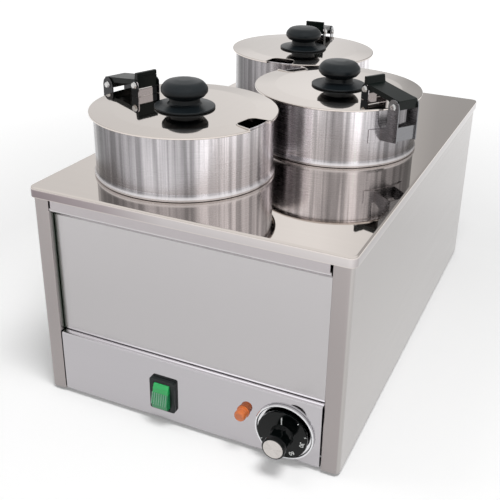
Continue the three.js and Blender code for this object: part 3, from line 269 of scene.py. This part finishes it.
def shade_lip(finish):
    """The folded lip below the flat top is painted darker, most of all on the left: a painted reflection
    of darker surroundings.
    """
    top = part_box("top_plate")[1][2]
    shades = [(0.0, (0.36, 0.33, 0.37, 1)), (0.25, (0.52, 0.50, 0.55, 1)), (0.45, (0.78, 0.80, 0.86, 1)),
              (0.985, (0.88, 0.90, 0.95, 1)), (0.995, (0.70, 0.71, 0.76, 1))]
    lip = finish.ramp(shades, finish.spread(finish.along(0), 0.0, 1.0, -175 * MM, 180 * MM))
    low = finish.spread(finish.along(2), 1.0, 0.0, top - 3.5 * MM, top - 1.5 * MM)
    low = low * finish.spread(finish.along(2), 0.0, 1.0, top - 11.3 * MM, top - 10.4 * MM)
    # Painted reflection: the lip's colour is tinted darker along its length.
    finish.repaint(finish.tint(finish.paint, finish.mix(low, WHITE, lip)))


def shade_posts(finish):
    """Painted shade: the posts' narrow faces are painted darker than the long side, and the left one's
    inner side is painted dark.
    """
    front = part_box("right_side_panel")[0][1]
    near = finish.spread(finish.along(1), 1.0, 0.0, front + 0.6 * MM, front + 1.6 * MM)
    # Painted shade on the posts' front faces.
    finish.repaint(finish.tint(finish.paint, finish.mix(near, WHITE, (0.78, 0.75, 0.76, 1))))
    x = finish.along(0)
    inside = finish.spread(x, 0.0, 1.0, -154.5 * MM, -153.8 * MM)
    inside = inside * finish.spread(x, 1.0, 0.0, -100 * MM, -90 * MM)
    behind = finish.spread(finish.along(1), 0.0, 1.0, front + 1.6 * MM, front + 6.0 * MM)
    # Painted shade on the left post's inner side, behind its front face.
    finish.repaint(finish.tint(finish.paint, finish.mix(inside * behind, WHITE, (0.10, 0.15, 0.11, 1))))


def shade_front(finish):
    """Painted light: the step under the rail is painted light so that it shows as light as the panel, the
    rail is tinted a little darker, and the hem at the foot carries a painted highlight.
    """
    low, high = (corner[2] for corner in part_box("front_panel"))
    rail_foot = high - RAIL_HEIGHT * MM
    height = finish.along(2)
    above_step = finish.spread(height, 0.0, 0.3, rail_foot - 7.0 * MM, rail_foot - 6.6 * MM)
    step = above_step * finish.spread(height, 1.0, 0.0, rail_foot, rail_foot + 0.4 * MM)
    # Painted reflection: the step is painted near white, so that it shows as light as the panel.
    finish.repaint(finish.mix(step, finish.paint, (0.98, 0.95, 0.97, 1)))
    rail = finish.spread(height, 0.0, 1.0, rail_foot, rail_foot + 0.4 * MM)
    # The rail is tinted a little darker than the panel.
    finish.repaint(finish.tint(finish.paint, finish.mix(rail, WHITE, (0.90, 0.87, 0.88, 1))))
    above_hem = finish.spread(height, 0.0, 1.0, low + 1.2 * MM, low + 1.6 * MM)
    hem = above_hem * finish.spread(height, 1.0, 0.0, low + 3.0 * MM, low + 3.4 * MM)
    # Painted highlight on the hem, stronger towards the right.
    right = finish.spread(finish.along(0), 0.25, 1.0, -120 * MM, 20 * MM)
    finish.repaint(finish.mix(hem * right, finish.paint, PAINTED_HIGHLIGHT))


def shade_ledge(finish):
    """The ledge of the control panel carries a painted reflection of the hem's painted highlight above it."""
    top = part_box("control_panel")[1][2]
    flat = finish.spread(finish.along(2), 0.0, 1.0, top - 0.8 * MM, top - 0.3 * MM)
    # Painted reflection on the ledge's flat top.
    finish.repaint(finish.mix(flat, finish.paint, PAINTED_HIGHLIGHT))


def shade_rocker(finish):
    """Painted highlight above the ridge and painted shade, duller, below it."""
    ridge = 44.0 * MM
    above = finish.spread(finish.along(2), 0.0, 1.0, ridge - 1 * MM, ridge)
    # Painted highlight above the ridge, painted shade below it.
    finish.repaint(finish.tint(finish.paint, finish.mix(above, (0.9, 0.62, 0.85, 1), WHITE)))


def moulded(name, colour, roughness, fineness=1400, depth=0.00004, **fixed):
    """Moulded plastic or rubber with a fine even skin."""
    finish = Finish(name, colour, roughness, **fixed)
    skin = finish.noise(finish.place(), fineness, 2.0)
    clouds = finish.noise(finish.place(), 40.0, 3.0)
    finish.vary(clouds, 0.92, 1.1)
    finish.feed(finish.shader, {"Roughness": finish.spread(clouds, roughness - 0.04, roughness + 0.05)})
    finish.bump(skin, 0.3, depth)
    return finish


def ringed_metal(name, colour, centre):
    """A turned face: fine rings about an axis that points out of the control panel, and a painted sheen
    in its colour.
    """
    roughness = 0.22
    rings_per_metre = 2600.0
    finish = Finish(name, colour, roughness, 1.0)
    place = finish.place(centre=centre, scale=(1, 0, 1))
    rings = finish.noise(finish.vector(finish.length(place) * rings_per_metre, 0.0, 0.0), 1.0, 1.0)
    # Painted sheen: two lighter and two darker sectors about the axis.
    twice = finish.maths("ARCTAN2", finish.part_of(place, 2), finish.part_of(place, 0)) * 2.0 + 0.6
    painted_sheen = finish.noise(finish.vector(finish.maths("COSINE", twice), 0.0, 0.0), 0.9, 0.0)
    finish.vary(painted_sheen, 0.86, 1.12)
    finish.feed(finish.shader, {"Roughness": finish.spread(rings, roughness - 0.06, roughness + 0.08)})
    finish.bump(rings, 0.35, 0.00003)
    return finish


def bracket_steel(name, centre, pot):
    """Folded bright sheet: its ear faces are painted dark, a painted reflection of the dark grip, and on
    some pots the end of the web is painted dark too.
    """
    finish = Finish(name, (196, 190, 191), 0.1, 1.0)
    across = finish.part_of(finish.turned(finish.place(centre=centre), pot["handle"]), 1)
    ears = finish.spread(finish.maths("ABSOLUTE", across), 0.0, 1.0, 14.92 * MM, 15.00 * MM)
    end = finish.spread(across, 1.0, 0.0, -6.8 * MM, -6.0 * MM) if pot["dark_end"] else 0.0
    dark = finish.maths("MINIMUM", ears + end, 1.0)
    # Painted reflection on the ear faces; the end of the web is painted dark too.
    finish.repaint(finish.mix(dark, finish.paint, (0.02, 0.022, 0.024, 1)))
    streaks = finish.noise(finish.place(scale=(500, 500, 20)))
    finish.feed(finish.shader, {"Roughness": finish.spread(streaks, 0.07, 0.14)})
    return finish


def spangled(name, colour):
    """Zinc coated sheet with its crystals."""
    finish = Finish(name, colour, 0.42, 1.0)
    crystals = finish.node("TexVoronoi", {}, {"Vector": finish.place(), "Scale": 120.0})
    finish.vary(crystals, 0.88, 1.06)
    finish.feed(finish.shader, {"Roughness": finish.spread(crystals, 0.36, 0.5)})
    return finish


mirror_top = sheet_steel("mirror_top", (213, 205, 199), 0.03, (4, 300, 300), scatter=0.01, shade=0.012)
mirror_lid = sheet_steel("mirror_lid", (208, 200, 194), 0.04, (300, 5, 300), scatter=0.015, shade=0.012)
front_steel = sheet_steel("front_steel", (186, 183, 184), 0.24, (6, 900, 900), scatter=0.01, shade=0.005)
panel_steel = sheet_steel("panel_steel", (186, 183, 184), 0.14, (6, 900, 900), shade=0.01)
control_steel = sheet_steel("control_steel", (186, 183, 186), 0.05, (6, 900, 900), scatter=0.015, shade=0.01)
side_steel = sheet_steel("side_steel", (180, 176, 174), 0.16, (900, 6, 900), shade=0.01)
tank_steel = sheet_steel("tank_steel", (180, 178, 176), 0.32, (6, 500, 500))
screw_metal = sheet_steel("screw_metal", (196, 195, 194), 0.2, (900, 900, 900))
chrome = sheet_steel("bezel_chrome", (222, 222, 224), 0.06, (700, 700, 700), scatter=0.02, shade=0.02)
zinc = spangled("zinc_sheet", (168, 171, 174))
copper = sheet_steel("copper_tube", (186, 118, 74), 0.34, (300, 300, 300))
sheath = sheet_steel("element_sheath", (92, 95, 88), 0.5, (400, 400, 400), shade=0.1)
lid_knob_black = moulded("lid_knob_black", (20, 25, 28), 0.34, 900, Specular_IOR_Level=0.28)
grip_black = moulded("grip_black", (9, 16, 14), 0.3, 700, Specular_IOR_Level=0.18)
dial_black = moulded("dial_black", (3, 6, 6), 0.12, 300, depth=0.00001, Specular_IOR_Level=0.22)
housing_black = moulded("housing_black", (18, 26, 26), 0.34, Specular_IOR_Level=0.3)
rubber = moulded("foot_rubber", (30, 31, 32), 0.75, 700)
gland_black = moulded("gland_black", (28, 30, 31), 0.5)
grey_moulding = moulded("grey_moulding", (138, 142, 145), 0.55)
dial_white = moulded("dial_white", (236, 238, 236), 0.5)
green_lens = moulded("green_lens", (36, 176, 92), 0.2, 500, depth=0.00002, Coat_Weight=0.3)
rib_green = moulded("rib_green", (122, 170, 142), 0.25, 500, depth=0.00002)
amber_lens = moulded("amber_lens", (222, 116, 48), 0.14, 500, depth=0.00002, Coat_Weight=0.5)


shade_lip(mirror_top)
shade_posts(side_steel)
shade_front(front_steel)
shade_ledge(control_steel)
shade_rocker(green_lens)


# How pieces are made

def smooth(bm, limit=38):
    """Rounds the shading of every edge but the sharp ones."""
    for face in bm.faces:
        face.smooth = True
    for edge in bm.edges:
        edge.smooth = edge.calc_face_angle(0.0) < math.radians(limit)


def placed(name, bm, finish, body, limit=38):
    """Turns the mesh into a piece that rides on a body."""
    smooth(bm, limit)
    mesh = bpy.data.meshes.new(name)
    bm.to_mesh(mesh)
    bm.free()
    mesh.materials.append(finish.material)
    item = bpy.data.objects.new(name, mesh)
    bpy.context.scene.collection.objects.link(item)
    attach(item, body)
    return item


def ease(bm, edges, radius, segments, **settings):
    """Rounds edges with a radius in millimetres."""
    bmesh.ops.bevel(bm, geom=edges, offset=radius * MM, affect="EDGES", segments=segments, profile=0.5,
                    material=-1, **settings)


def raised(bm, geometry, step):
    """Moves the points that an operator has just made."""
    points = [item for item in geometry if isinstance(item, bmesh.types.BMVert)]
    bmesh.ops.translate(bm, verts=points, vec=step)


def even(item):
    """Keeps flat faces flat beside their rounded edges."""
    modifier = item.modifiers.new("even", "WEIGHTED_NORMAL")
    modifier.keep_sharp = True
    modifier.weight = 100
    return item


def instead_of(node, bm, finish, limit=38):
    """A finer piece in the place of a node."""
    item = placed(node + "_skin", bm, finish, body_of[node], limit)
    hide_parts(node)
    return even(item)


def rounded_copy(node, finish, radius=0.3, segments=2, sharp=35, limit=50):
    """The node's own form with its loose faces joined and its hard edges eased."""
    bm = bmesh.new()
    bm.from_mesh(frame["nodes"][node].data)
    bmesh.ops.remove_doubles(bm, verts=bm.verts, dist=0.00001)
    bmesh.ops.dissolve_limit(bm, angle_limit=math.radians(1), verts=bm.verts, edges=bm.edges)
    hard = [edge for edge in bm.edges if edge.calc_face_angle(0.0) > math.radians(sharp)]
    ease(bm, hard, radius, segments, clamp_overlap=True)
    return instead_of(node, bm, finish, limit)


def dressed(node, finish):
    """A node that keeps its form and only takes a finish."""
    frame["nodes"][node].material_slots[0].material = finish.material


def rounded_line(points):
    """A line through points (r, z) or (r, z, radius), with an arc at each radius."""
    line = []
    for index, corner in enumerate(points):
        if len(corner) == 2:
            line.append(Vector(corner))
            continue
        here = Vector(corner[:2])
        before = (Vector(points[index - 1][:2]) - here).normalized()
        after = (Vector(points[(index + 1) % len(points)][:2]) - here).normalized()
        half = before.angle(after) / 2
        centre = here + (before + after).normalized() * corner[2] / math.sin(half)
        start = here + before * corner[2] / math.tan(half) - centre
        end = here + after * corner[2] / math.tan(half) - centre
        sweep = start.angle_signed(end)
        steps = max(2, round(abs(math.degrees(sweep)) / 15))
        for step in range(steps + 1):
            line.append(centre + Matrix.Rotation(-sweep * step / steps, 2) @ start)
    return line


def spun(points, place, steps=96, closed=False):
    """A profile (r, z in millimetres) turned about the local z axis, then placed."""
    line = [point * MM for point in rounded_line(points)]
    bm = bmesh.new()
    verts = [bm.verts.new((point.x, 0, point.y)) for point in line]
    edges = [bm.edges.new(pair) for pair in zip(verts, verts[1:])]
    if closed:
        edges.append(bm.edges.new((verts[-1], verts[0])))
    bmesh.ops.spin(bm, geom=verts + edges, cent=(0, 0, 0), axis=(0, 0, 1), angle=2 * math.pi,
                   steps=steps, use_merge=True)
    bmesh.ops.remove_doubles(bm, verts=bm.verts, dist=0.000002)
    bmesh.ops.recalc_face_normals(bm, faces=bm.faces)
    bm.transform(place)
    return bm


def middle(node):
    low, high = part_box(node)
    return (Vector(low) + Vector(high)) / 2


def as_mesh(item):
    """The mesh of a finished text or of a carved piece."""
    bpy.context.view_layer.update()
    return bpy.data.meshes.new_from_object(item.evaluated_get(bpy.context.evaluated_depsgraph_get()))


def carved(item, operation, cutter_mesh):
    """Joins or cuts a piece with a solid, and keeps the result as its mesh."""
    cutter = bpy.data.objects.new("cutter", cutter_mesh)
    bpy.context.scene.collection.objects.link(cutter)
    modifier = item.modifiers.new("carve", "BOOLEAN")
    modifier.operation = operation
    modifier.solver = "EXACT"
    modifier.object = cutter
    result = as_mesh(item)
    item.modifiers.clear()
    bpy.data.objects.remove(cutter)
    return result


# Pots, lids and their handles

PLATE_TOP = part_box("top_plate")[1][2] / MM
POT_RADIUS = 95.8
SUNK_RADIUS = 91.0
POT_SHEET = 1.0
BEAD_LIFT = 0.4
BEAD_HEIGHT = 4.8
LID_RADIUS = 100.3
NOTCH_DEPTH = 22.8
NOTCH_FLARE = 4.0
HEM_WIDTH = 1.6
HEM_HEIGHT = 0.45


def add_pot(name):
    """A straight wall over a rolled bead, a rim hem and a narrower body below the plate."""
    node = name + "_pot"
    axis = middle(node)
    low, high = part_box(node)
    foot = low[2] / MM
    rim = high[2] / MM
    wall = POT_RADIUS
    lower = SUNK_RADIUS
    seat = PLATE_TOP + BEAD_LIFT
    finish = turned_steel(name + "_pot_steel", (axis.x, axis.y, 0), POTS[name], (seat + BEAD_HEIGHT) * MM)
    bm = spun([
        (0, foot),
        (lower, foot, 9.0),
        (lower, seat, 0.2),
        (wall + 1.3, seat, 0.6),
        (wall + 2.0, seat + 2.4, 1.2),
        (wall + 0.6, seat + 5.2, 1.0),
        (wall, seat + 7.4, 6.0),
        (wall, rim - 2.2, 0.2),
        (wall + 0.6, rim - 1.1, 0.4),
        (wall + 0.1, rim, 0.3),
        (wall - POT_SHEET, rim, 0.3),
        (wall - POT_SHEET, seat + 3.8, 0.5),
        (lower - POT_SHEET, seat + 1.2, 0.5),
        (lower - POT_SHEET, foot + POT_SHEET, 8.0),
        (0, foot + POT_SHEET),
    ], Matrix.Translation((axis.x, axis.y, 0)), 128)
    instead_of(node, bm, finish)
    rounded_copy(name + "_hinge_bracket", finish)


def notch_mesh(name, margin, rim, low, high):
    """The upright prism of a ladle notch, widened by a margin, out to a distance from the lid's axis."""
    axis = middle(name + "_lid_knob")
    inner = LID_RADIUS - NOTCH_DEPTH - margin
    half = 14.0 + margin
    rim_half = half + NOTCH_FLARE / NOTCH_DEPTH * (rim - inner)
    bm = bmesh.new()
    corners = [(inner, -half), (rim, -rim_half), (rim, rim_half), (inner, half)]
    verts = [bm.verts.new((x * MM, y * MM, low)) for x, y in corners]
    bm.faces.new(verts)
    bmesh.ops.bevel(bm, geom=[verts[0], verts[3]], offset=(6.0 + margin) * MM, affect="VERTICES",
                    segments=8, profile=0.5, material=-1)
    made = bmesh.ops.extrude_face_region(bm, geom=list(bm.faces))
    raised(bm, made["geom"], (0, 0, high - low))
    bmesh.ops.recalc_face_normals(bm, faces=bm.faces)
    turn = Matrix.Rotation(math.radians(POTS[name]["notch"]), 4, "Z")
    bm.transform(Matrix.Translation((axis.x, axis.y, 0)) @ turn)
    mesh = bpy.data.meshes.new("notch")
    bm.to_mesh(mesh)
    bm.free()
    return mesh


def add_lid(name):
    """A disc that falls a little to its rolled edge, and a notch with a raised hem for the ladle."""
    node = name + "_lid"
    axis = middle(name + "_lid_knob")
    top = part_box(node)[1][2] / MM
    bm = spun([
        (2.7, top - 1.1),
        (70.0, top - 1.1),
        (80.0, top - 1.4),
        (LID_RADIUS - 2.0, top - 1.4),
        (LID_RADIUS - 2.0, top - 3.2, 0.3),
        (LID_RADIUS, top - 3.2, 0.6),
        (LID_RADIUS, top - 0.8, 0.95),
        (76.0, top, 60.0),
        (2.7, top),
    ], Matrix.Translation((axis.x, axis.y, 0)), 128, closed=True)
    item = instead_of(node, bm, mirror_lid)
    item.modifiers.clear()
    hem = notch_mesh(name, HEM_WIDTH, LID_RADIUS - 2.3, (top - 3.5) * MM, (top + HEM_HEIGHT) * MM)
    item.data = carved(item, "UNION", hem)
    opening = notch_mesh(name, 0.0, LID_RADIUS + 9.7, (top - 12) * MM, (top + 6) * MM)
    item.data = carved(item, "DIFFERENCE", opening)
    bm = bmesh.new()
    bm.from_mesh(item.data)
    edge_low = (top + HEM_HEIGHT - 0.05) * MM
    rim = [edge for edge in bm.edges
           if all(v.co.z > edge_low and (v.co - axis).xy.length > 60 * MM for v in edge.verts)
           and edge.calc_face_angle(0.0) > math.radians(60)]
    ease(bm, rim, 0.5, 3, clamp_overlap=True)
    smooth(bm)
    bm.to_mesh(item.data)
    bm.free()
    even(item)


def add_lid_knob(name):
    """A mushroom knob over a wide thin flange."""
    node = name + "_lid_knob"
    axis = middle(node)
    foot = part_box(node)[0][2] / MM
    bm = spun([
        (0, foot + 14.0),
        (2.4, foot + 14.0),
        (2.4, foot),
        (32.5, foot, 0.5),
        (32.5, foot + 1.9, 0.8),
        (18.5, foot + 4.1, 2.0),
        (16.6, foot + 6.0, 1.2),
        (16.2, foot + 11.0, 1.6),
        (21.5, foot + 12.6, 3.0),
        (25.0, foot + 17.0, 3.4),
        (24.9, foot + 21.5, 4.5),
        (20.0, foot + 28.0, 9.0),
        (8.0, foot + 30.2, 20.0),
        (0, foot + 30.2),
    ], Matrix.Translation((axis.x, axis.y, 0)), 96)
    instead_of(node, bm, lid_knob_black)


for pot_name in POTS:
    add_pot(pot_name)
    add_lid(pot_name)
    add_lid_knob(pot_name)
    rounded_copy(pot_name + "_grip", grip_black, 0.6, 3)
    lid_axis = middle(pot_name + "_lid_knob")
    bright = bracket_steel(pot_name + "_bracket_steel", (lid_axis.x, lid_axis.y, 0), POTS[pot_name])
    rounded_copy(pot_name + "_lid_bracket", bright)
    for part in ("_lid_knob_screw", "_grip_bolt", "_pivot_bolt"):
        rounded_copy(pot_name + part, screw_metal, 0.15, 1)


# Case

PLATE_SHEET = 1.2
PLATE_CORNER = 8.0
LIP_DROP = 11.3
WELL_RADIUS = 92.2
COLLAR_DROP = 6.2


def at_a_well(edge, centre):
    """Whether an edge of the plate, which is made about its own centre, touches a well."""
    wells = [middle(name + "_pot") - centre for name in POTS]
    return any((vert.co - well).xy.length < (WELL_RADIUS + 0.8) * MM for well in wells for vert in edge.verts)


def add_top_plate():
    """One pressed sheet: rolled outer lip, and a turned-down collar round each well."""
    low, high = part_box("top_plate")
    half_width = (high[0] - low[0]) / 2
    half_depth = (high[1] - low[1]) / 2
    centre = Vector(((low[0] + high[0]) / 2, (low[1] + high[1]) / 2, high[2]))
    bm = bmesh.new()
    signs = [(-1, -1), (1, -1), (1, 1), (-1, 1)]
    bm.faces.new([bm.verts.new((x * half_width, y * half_depth, 0)) for x, y in signs])
    bmesh.ops.bevel(bm, geom=list(bm.verts), offset=PLATE_CORNER * MM, affect="VERTICES", segments=10,
                    profile=0.5, material=-1)
    bmesh.ops.delete(bm, geom=list(bm.faces), context="FACES_ONLY")
    outline = list(bm.edges)
    rings = []
    for name in POTS:
        axis = middle(name + "_pot") - centre
        made = bmesh.ops.create_circle(bm, cap_ends=False, segments=96, radius=WELL_RADIUS * MM,
                                       matrix=Matrix.Translation((axis.x, axis.y, 0)))
        rings += list({edge for vert in made["verts"] for edge in vert.link_edges})
    bmesh.ops.triangle_fill(bm, use_beauty=True, edges=outline + rings, normal=(0, 0, 1))
    bmesh.ops.dissolve_limit(bm, angle_limit=math.radians(1), verts=bm.verts, edges=bm.edges)
    border = [edge for edge in bm.edges if edge.is_boundary]
    inner = [edge for edge in border if at_a_well(edge, centre)]
    outer = [edge for edge in border if edge not in inner]
    for edges, drop in ((outer, LIP_DROP), (inner, COLLAR_DROP)):
        made = bmesh.ops.extrude_edge_only(bm, edges=edges)
        raised(bm, made["geom"], (0, 0, -drop * MM))
    bmesh.ops.recalc_face_normals(bm, faces=bm.faces)
    if max(bm.faces, key=lambda face: face.calc_area()).normal.z < 0:
        bmesh.ops.reverse_faces(bm, faces=bm.faces)
    bend = [edge for edge in bm.edges if all(abs(vert.co.z) < 0.00001 for vert in edge.verts)
            and edge.calc_face_angle(0.0) > math.radians(60)]
    inner_bend = [edge for edge in bend if at_a_well(edge, centre)]
    ease(bm, [edge for edge in bend if edge not in inner_bend], 2.4, 5)
    ease(bm, [edge for edge in inner_bend if edge.is_valid], 1.0, 3)
    bm.transform(Matrix.Translation(centre))
    item = instead_of("top_plate", bm, mirror_top)
    item.modifiers.clear()
    wall = item.modifiers.new("wall", "SOLIDIFY")
    wall.thickness = PLATE_SHEET * MM
    wall.offset = -1
    even(item)


add_top_plate()
rounded_copy("left_side_panel", side_steel, 0.2)
rounded_copy("right_side_panel", side_steel, 0.2)
rounded_copy("front_panel", front_steel, 0.2)
rounded_copy("control_panel", control_steel, 0.2)
rounded_copy("rear_panel", panel_steel, 0.2)
rounded_copy("base_plate", zinc, 0.2)
for corner in ("front_left", "front_right", "rear_left", "rear_right"):
    rounded_copy(corner + "_foot", rubber, 0.8, 3)
    dressed(corner + "_foot_screw", screw_metal)
dressed("water_tank", tank_steel)
dressed("heating_element", sheath)
for number in (1, 2, 3):
    dressed(f"element_bar_{number}", zinc)
dressed("thermostat_body", grey_moulding)
dressed("thermostat_shaft", screw_metal)
dressed("thermostat_bulb", copper)
dressed("terminal_block", grey_moulding)
dressed("pilot_lamp_body", grey_moulding)
rounded_copy("cable_gland", gland_black, 0.5)


# Controls

panel_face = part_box("control_panel")[0][1]


def on_panel(x, z):
    """Local x runs right, y up and z out of the control panel."""
    return Matrix.Translation((x, panel_face, z)) @ Matrix.Rotation(math.radians(90), 4, "X")


BEZEL_RADIUS = 32.3
BEZEL_HEIGHT = 3.5
BEZEL_FOOT = 0.3
CAP_RADIUS = 10.6
CAP_FOOT = 29.0
RIB_COUNT = 7
RIB_PITCH = 2.75
RIB_WIDTH = 1.2
LENS_RADIUS = 6.3
DIAL_RADIUS = 27.2
DIAL_EDGE_HEIGHT = 7.0
DIAL_SLOPE = 0.8 / 14.4

knob_axis = middle("knob_bezel")
knob_place = on_panel(knob_axis.x, knob_axis.z)
bezel = spun([
    (21.0, BEZEL_FOOT),
    (BEZEL_RADIUS, BEZEL_FOOT, 0.2),
    (BEZEL_RADIUS, BEZEL_HEIGHT, 1.25),
    (BEZEL_RADIUS - 2.6, BEZEL_HEIGHT, 1.25),
    (BEZEL_RADIUS - 2.6, BEZEL_FOOT + 1.0, 0.4),
    (21.0, BEZEL_FOOT + 1.0),
], knob_place, 96, closed=True)
instead_of("knob_bezel", bezel, chrome)
rounded_copy("thermostat_knob", dial_black, 0.5, 3, sharp=28, limit=40)
cap_metal = ringed_metal("cap_metal", (205, 200, 196), (knob_axis.x, 0, knob_axis.z))
cap = spun([
    (0, CAP_FOOT),
    (CAP_RADIUS, CAP_FOOT),
    (CAP_RADIUS, CAP_FOOT + 1.1, 0.25),
    (0, CAP_FOOT + 1.4),
], knob_place, 64)
instead_of("knob_cap", cap, cap_metal)

rounded_copy("switch_housing", housing_black, 0.7, 3)
rounded_copy("switch_rocker", green_lens, 0.4, 2, sharp=12)


def rocker_ribs():
    """Upright ribs on the lower part of the rocker's face, along its slope (y, z)."""
    slope = [(-280.9, 43.6), (-281.56, 39.46), (-283.62, 30.4)]
    outer = [(y - 0.4, z) for y, z in slope]
    inner = [(y + 0.2, z) for y, z in reversed(slope)]
    bm = bmesh.new()
    for number in range(RIB_COUNT):
        left = -33.1 + number * RIB_PITCH
        face = bm.faces.new([bm.verts.new((left * MM, y * MM, z * MM)) for y, z in outer + inner])
        made = bmesh.ops.extrude_face_region(bm, geom=[face])
        raised(bm, made["geom"], (RIB_WIDTH * MM, 0, 0))
    bmesh.ops.recalc_face_normals(bm, faces=bm.faces)
    return bm


placed("rocker_ribs", rocker_ribs(), rib_green, body_of["switch_rocker"])
lamp_axis = middle("pilot_lamp_lens")
lens = spun([
    (0, 0.3),
    (LENS_RADIUS + 0.8, 0.3),
    (LENS_RADIUS + 0.8, 1.4, 0.3),
    (LENS_RADIUS, 1.5),
    (LENS_RADIUS, 3.4),
    (LENS_RADIUS - 0.5, 3.9),
    (LENS_RADIUS, 4.4),
    (LENS_RADIUS, 6.2),
    (LENS_RADIUS - 0.5, 6.7),
    (LENS_RADIUS, 7.2),
    (LENS_RADIUS, 10.5, 2.6),
    (3.4, 10.5),
    (3.2, 10.1),
    (0, 10.1),
], on_panel(lamp_axis.x, lamp_axis.z), 48)
instead_of("pilot_lamp_lens", lens, amber_lens)


def at_clock(clock):
    """A turn about the knob's axis, clockwise as it is seen from the front."""
    return Matrix.Rotation(-math.radians(clock), 4, "Z")


def digits(text, size, radius, clock):
    """Digits that stand upright on the dial, at an angle in degrees from its top."""
    curve = bpy.data.curves.new("digits", "FONT")
    curve.body = text
    curve.size = size * MM
    curve.extrude = 0.06 * MM
    curve.offset = 0.10 * MM
    curve.align_x = "CENTER"
    curve.align_y = "CENTER"
    holder = bpy.data.objects.new("digits", curve)
    bpy.context.scene.collection.objects.link(holder)
    mesh = as_mesh(holder)
    bpy.data.objects.remove(holder)
    mesh.transform(at_clock(clock) @ Matrix.Translation((0, radius * MM, 0)))
    return mesh


def dial_marks():
    """The index line, a few short ticks and the numbers of the scale."""
    bm = bmesh.new()
    for text, clock in (("30", 102), ("60", 149), ("90", 196)):
        bm.from_mesh(digits(text, 6.2, 21.8, clock))
    lines = [(-3, 13.4, 21.3, 0.5), (41, 24.4, 26.3, 0.4), (78, 24.4, 26.3, 0.4), (-117, 24.2, 26.0, 0.4)]
    for clock, start, end, half in lines:
        bar = at_clock(clock) @ Matrix.Translation((0, (start + end) / 2 * MM, 0))
        size = Matrix.Diagonal((2 * half * MM, (end - start) * MM, 0.12 * MM, 1))
        bmesh.ops.create_cube(bm, size=1.0, matrix=bar @ size)
    for vert in bm.verts:
        vert.co.z += DIAL_EDGE_HEIGHT * MM + (DIAL_RADIUS * MM - vert.co.xy.length) * DIAL_SLOPE
    bm.transform(knob_place)
    return bm


placed("dial_marks", dial_marks(), dial_white, "control_knob")


# Studio

def seen_rays(nodes):
    """One on a ray that the camera sees straight, in a gloss or through glass, and zero on others."""
    camera, gloss, through, depth = (nodes.node("LightPath", {}, {}, name) for name in (
        "Is Camera Ray", "Is Glossy Ray", "Is Transmission Ray", "Diffuse Depth"))
    seen = camera + gloss + through - depth
    return nodes.maths("MINIMUM", nodes.maths("MAXIMUM", seen, 0.0), 1.0)


def floor_finish():
    """Pale floor that stays white around the shadow."""
    finish = Finish("floor_white", (238, 238, 238), 0.9)
    level = finish.spread(finish.length(finish.place()), 0.18, 0.80, 0.50, 1.60)
    glow = finish.node("Emission", {}, {"Color": WHITE, "Strength": seen_rays(finish) * level})
    plain = Value(finish, finish.shader.outputs[0])
    surface = finish.node("AddShader", {}, {0: plain, 1: glow})
    finish.feed(finish.tree.nodes["Material Output"], {"Surface": surface})
    return finish


def add_floor():
    bm = bmesh.new()
    bmesh.ops.create_grid(bm, x_segments=8, y_segments=8, size=9.0)
    mesh = bpy.data.meshes.new("floor")
    bm.to_mesh(mesh)
    bm.free()
    mesh.materials.append(floor_finish().material)
    floor = bpy.data.objects.new("floor", mesh)
    bpy.context.scene.collection.objects.link(floor)


# How light the room is all the way round, from behind the left (0) by the front (0.25) to the right (0.5)
ROOM = [
    (0.00, 0.86), (0.20, 1.00), (0.45, 1.00), (0.60, 0.80), (0.70, 0.50),
    (0.776, 0.44), (0.784, 0.47), (0.791, 0.88), (0.806, 1.08), (0.825, 0.95), (0.860, 0.84), (1.00, 0.86),
]
WORLD_LEVEL = 0.25


def add_world():
    world = bpy.data.worlds.new("studio")
    world.use_nodes = True
    bpy.context.scene.world = world
    nodes = Nodes(world.node_tree)
    direction = nodes.node("TexCoord", {}, {}, "Generated")
    x, y, z = (nodes.part_of(direction, axis) for axis in range(3))
    around = nodes.maths("ARCTAN2", y, x) / (2 * math.pi) + 0.5
    walls = nodes.ramp([(place, (light, light, light, 1)) for place, light in ROOM], around)
    above = nodes.spread(z, 0.0, 1.0, 0.5, 0.8)
    walls = nodes.tint(walls, nodes.grey(nodes.spread(z, 0.84, 1.0, 0.215, 0.26)))
    room = nodes.mix(above, walls, WHITE)
    gloss = nodes.node("LightPath", {}, {}, "Is Glossy Ray")
    background = world.node_tree.nodes["Background"]
    nodes.feed(background, {
        "Color": nodes.mix(gloss, WHITE, room),
        "Strength": seen_rays(nodes) * (1 - WORLD_LEVEL) + WORLD_LEVEL,
    })


def add_lamp(name, place, aim_height, size, power):
    """A square soft light that no gloss shows, aimed above the middle of the floor."""
    light = bpy.data.lights.new(name, "AREA")
    light.size = size
    light.energy = power
    lamp = bpy.data.objects.new(name, light)
    lamp.location = place
    lamp.rotation_euler = (Vector((0, 0, aim_height)) - Vector(place)).to_track_quat("-Z", "Y").to_euler()
    lamp.visible_glossy = False
    bpy.context.scene.collection.objects.link(lamp)


def add_camera():
    data = bpy.data.cameras.new("photo_view")
    data.sensor_width = 36.0
    data.lens = 56.11
    data.shift_x = -0.0871
    data.shift_y = -0.0819
    camera = bpy.data.objects.new("photo_view", data)
    right = Vector((0.9219, 0.3857, 0.0357)).normalized()
    forward = Vector((-0.3392, 0.8483, -0.4066)).normalized()
    up = right.cross(forward)
    camera.matrix_world = Matrix.Translation((0.34972, -0.85436, 0.5619)) @ Matrix(
        (right, up, -forward)).transposed().to_4x4()
    bpy.context.scene.collection.objects.link(camera)
    bpy.context.scene.camera = camera


add_floor()
add_world()
add_lamp("overhead", place=(0.55, -0.55, 1.95), aim_height=0.0, size=0.7, power=27)
add_lamp("left_fill", place=(-0.80, -0.35, 1.7), aim_height=0.0, size=0.7, power=4)
add_lamp("front_fill", place=(0.9, -1.8, 1.2), aim_height=0.15, size=1.4, power=5)
add_camera()
bpy.context.scene.view_settings.view_transform = "Standard"
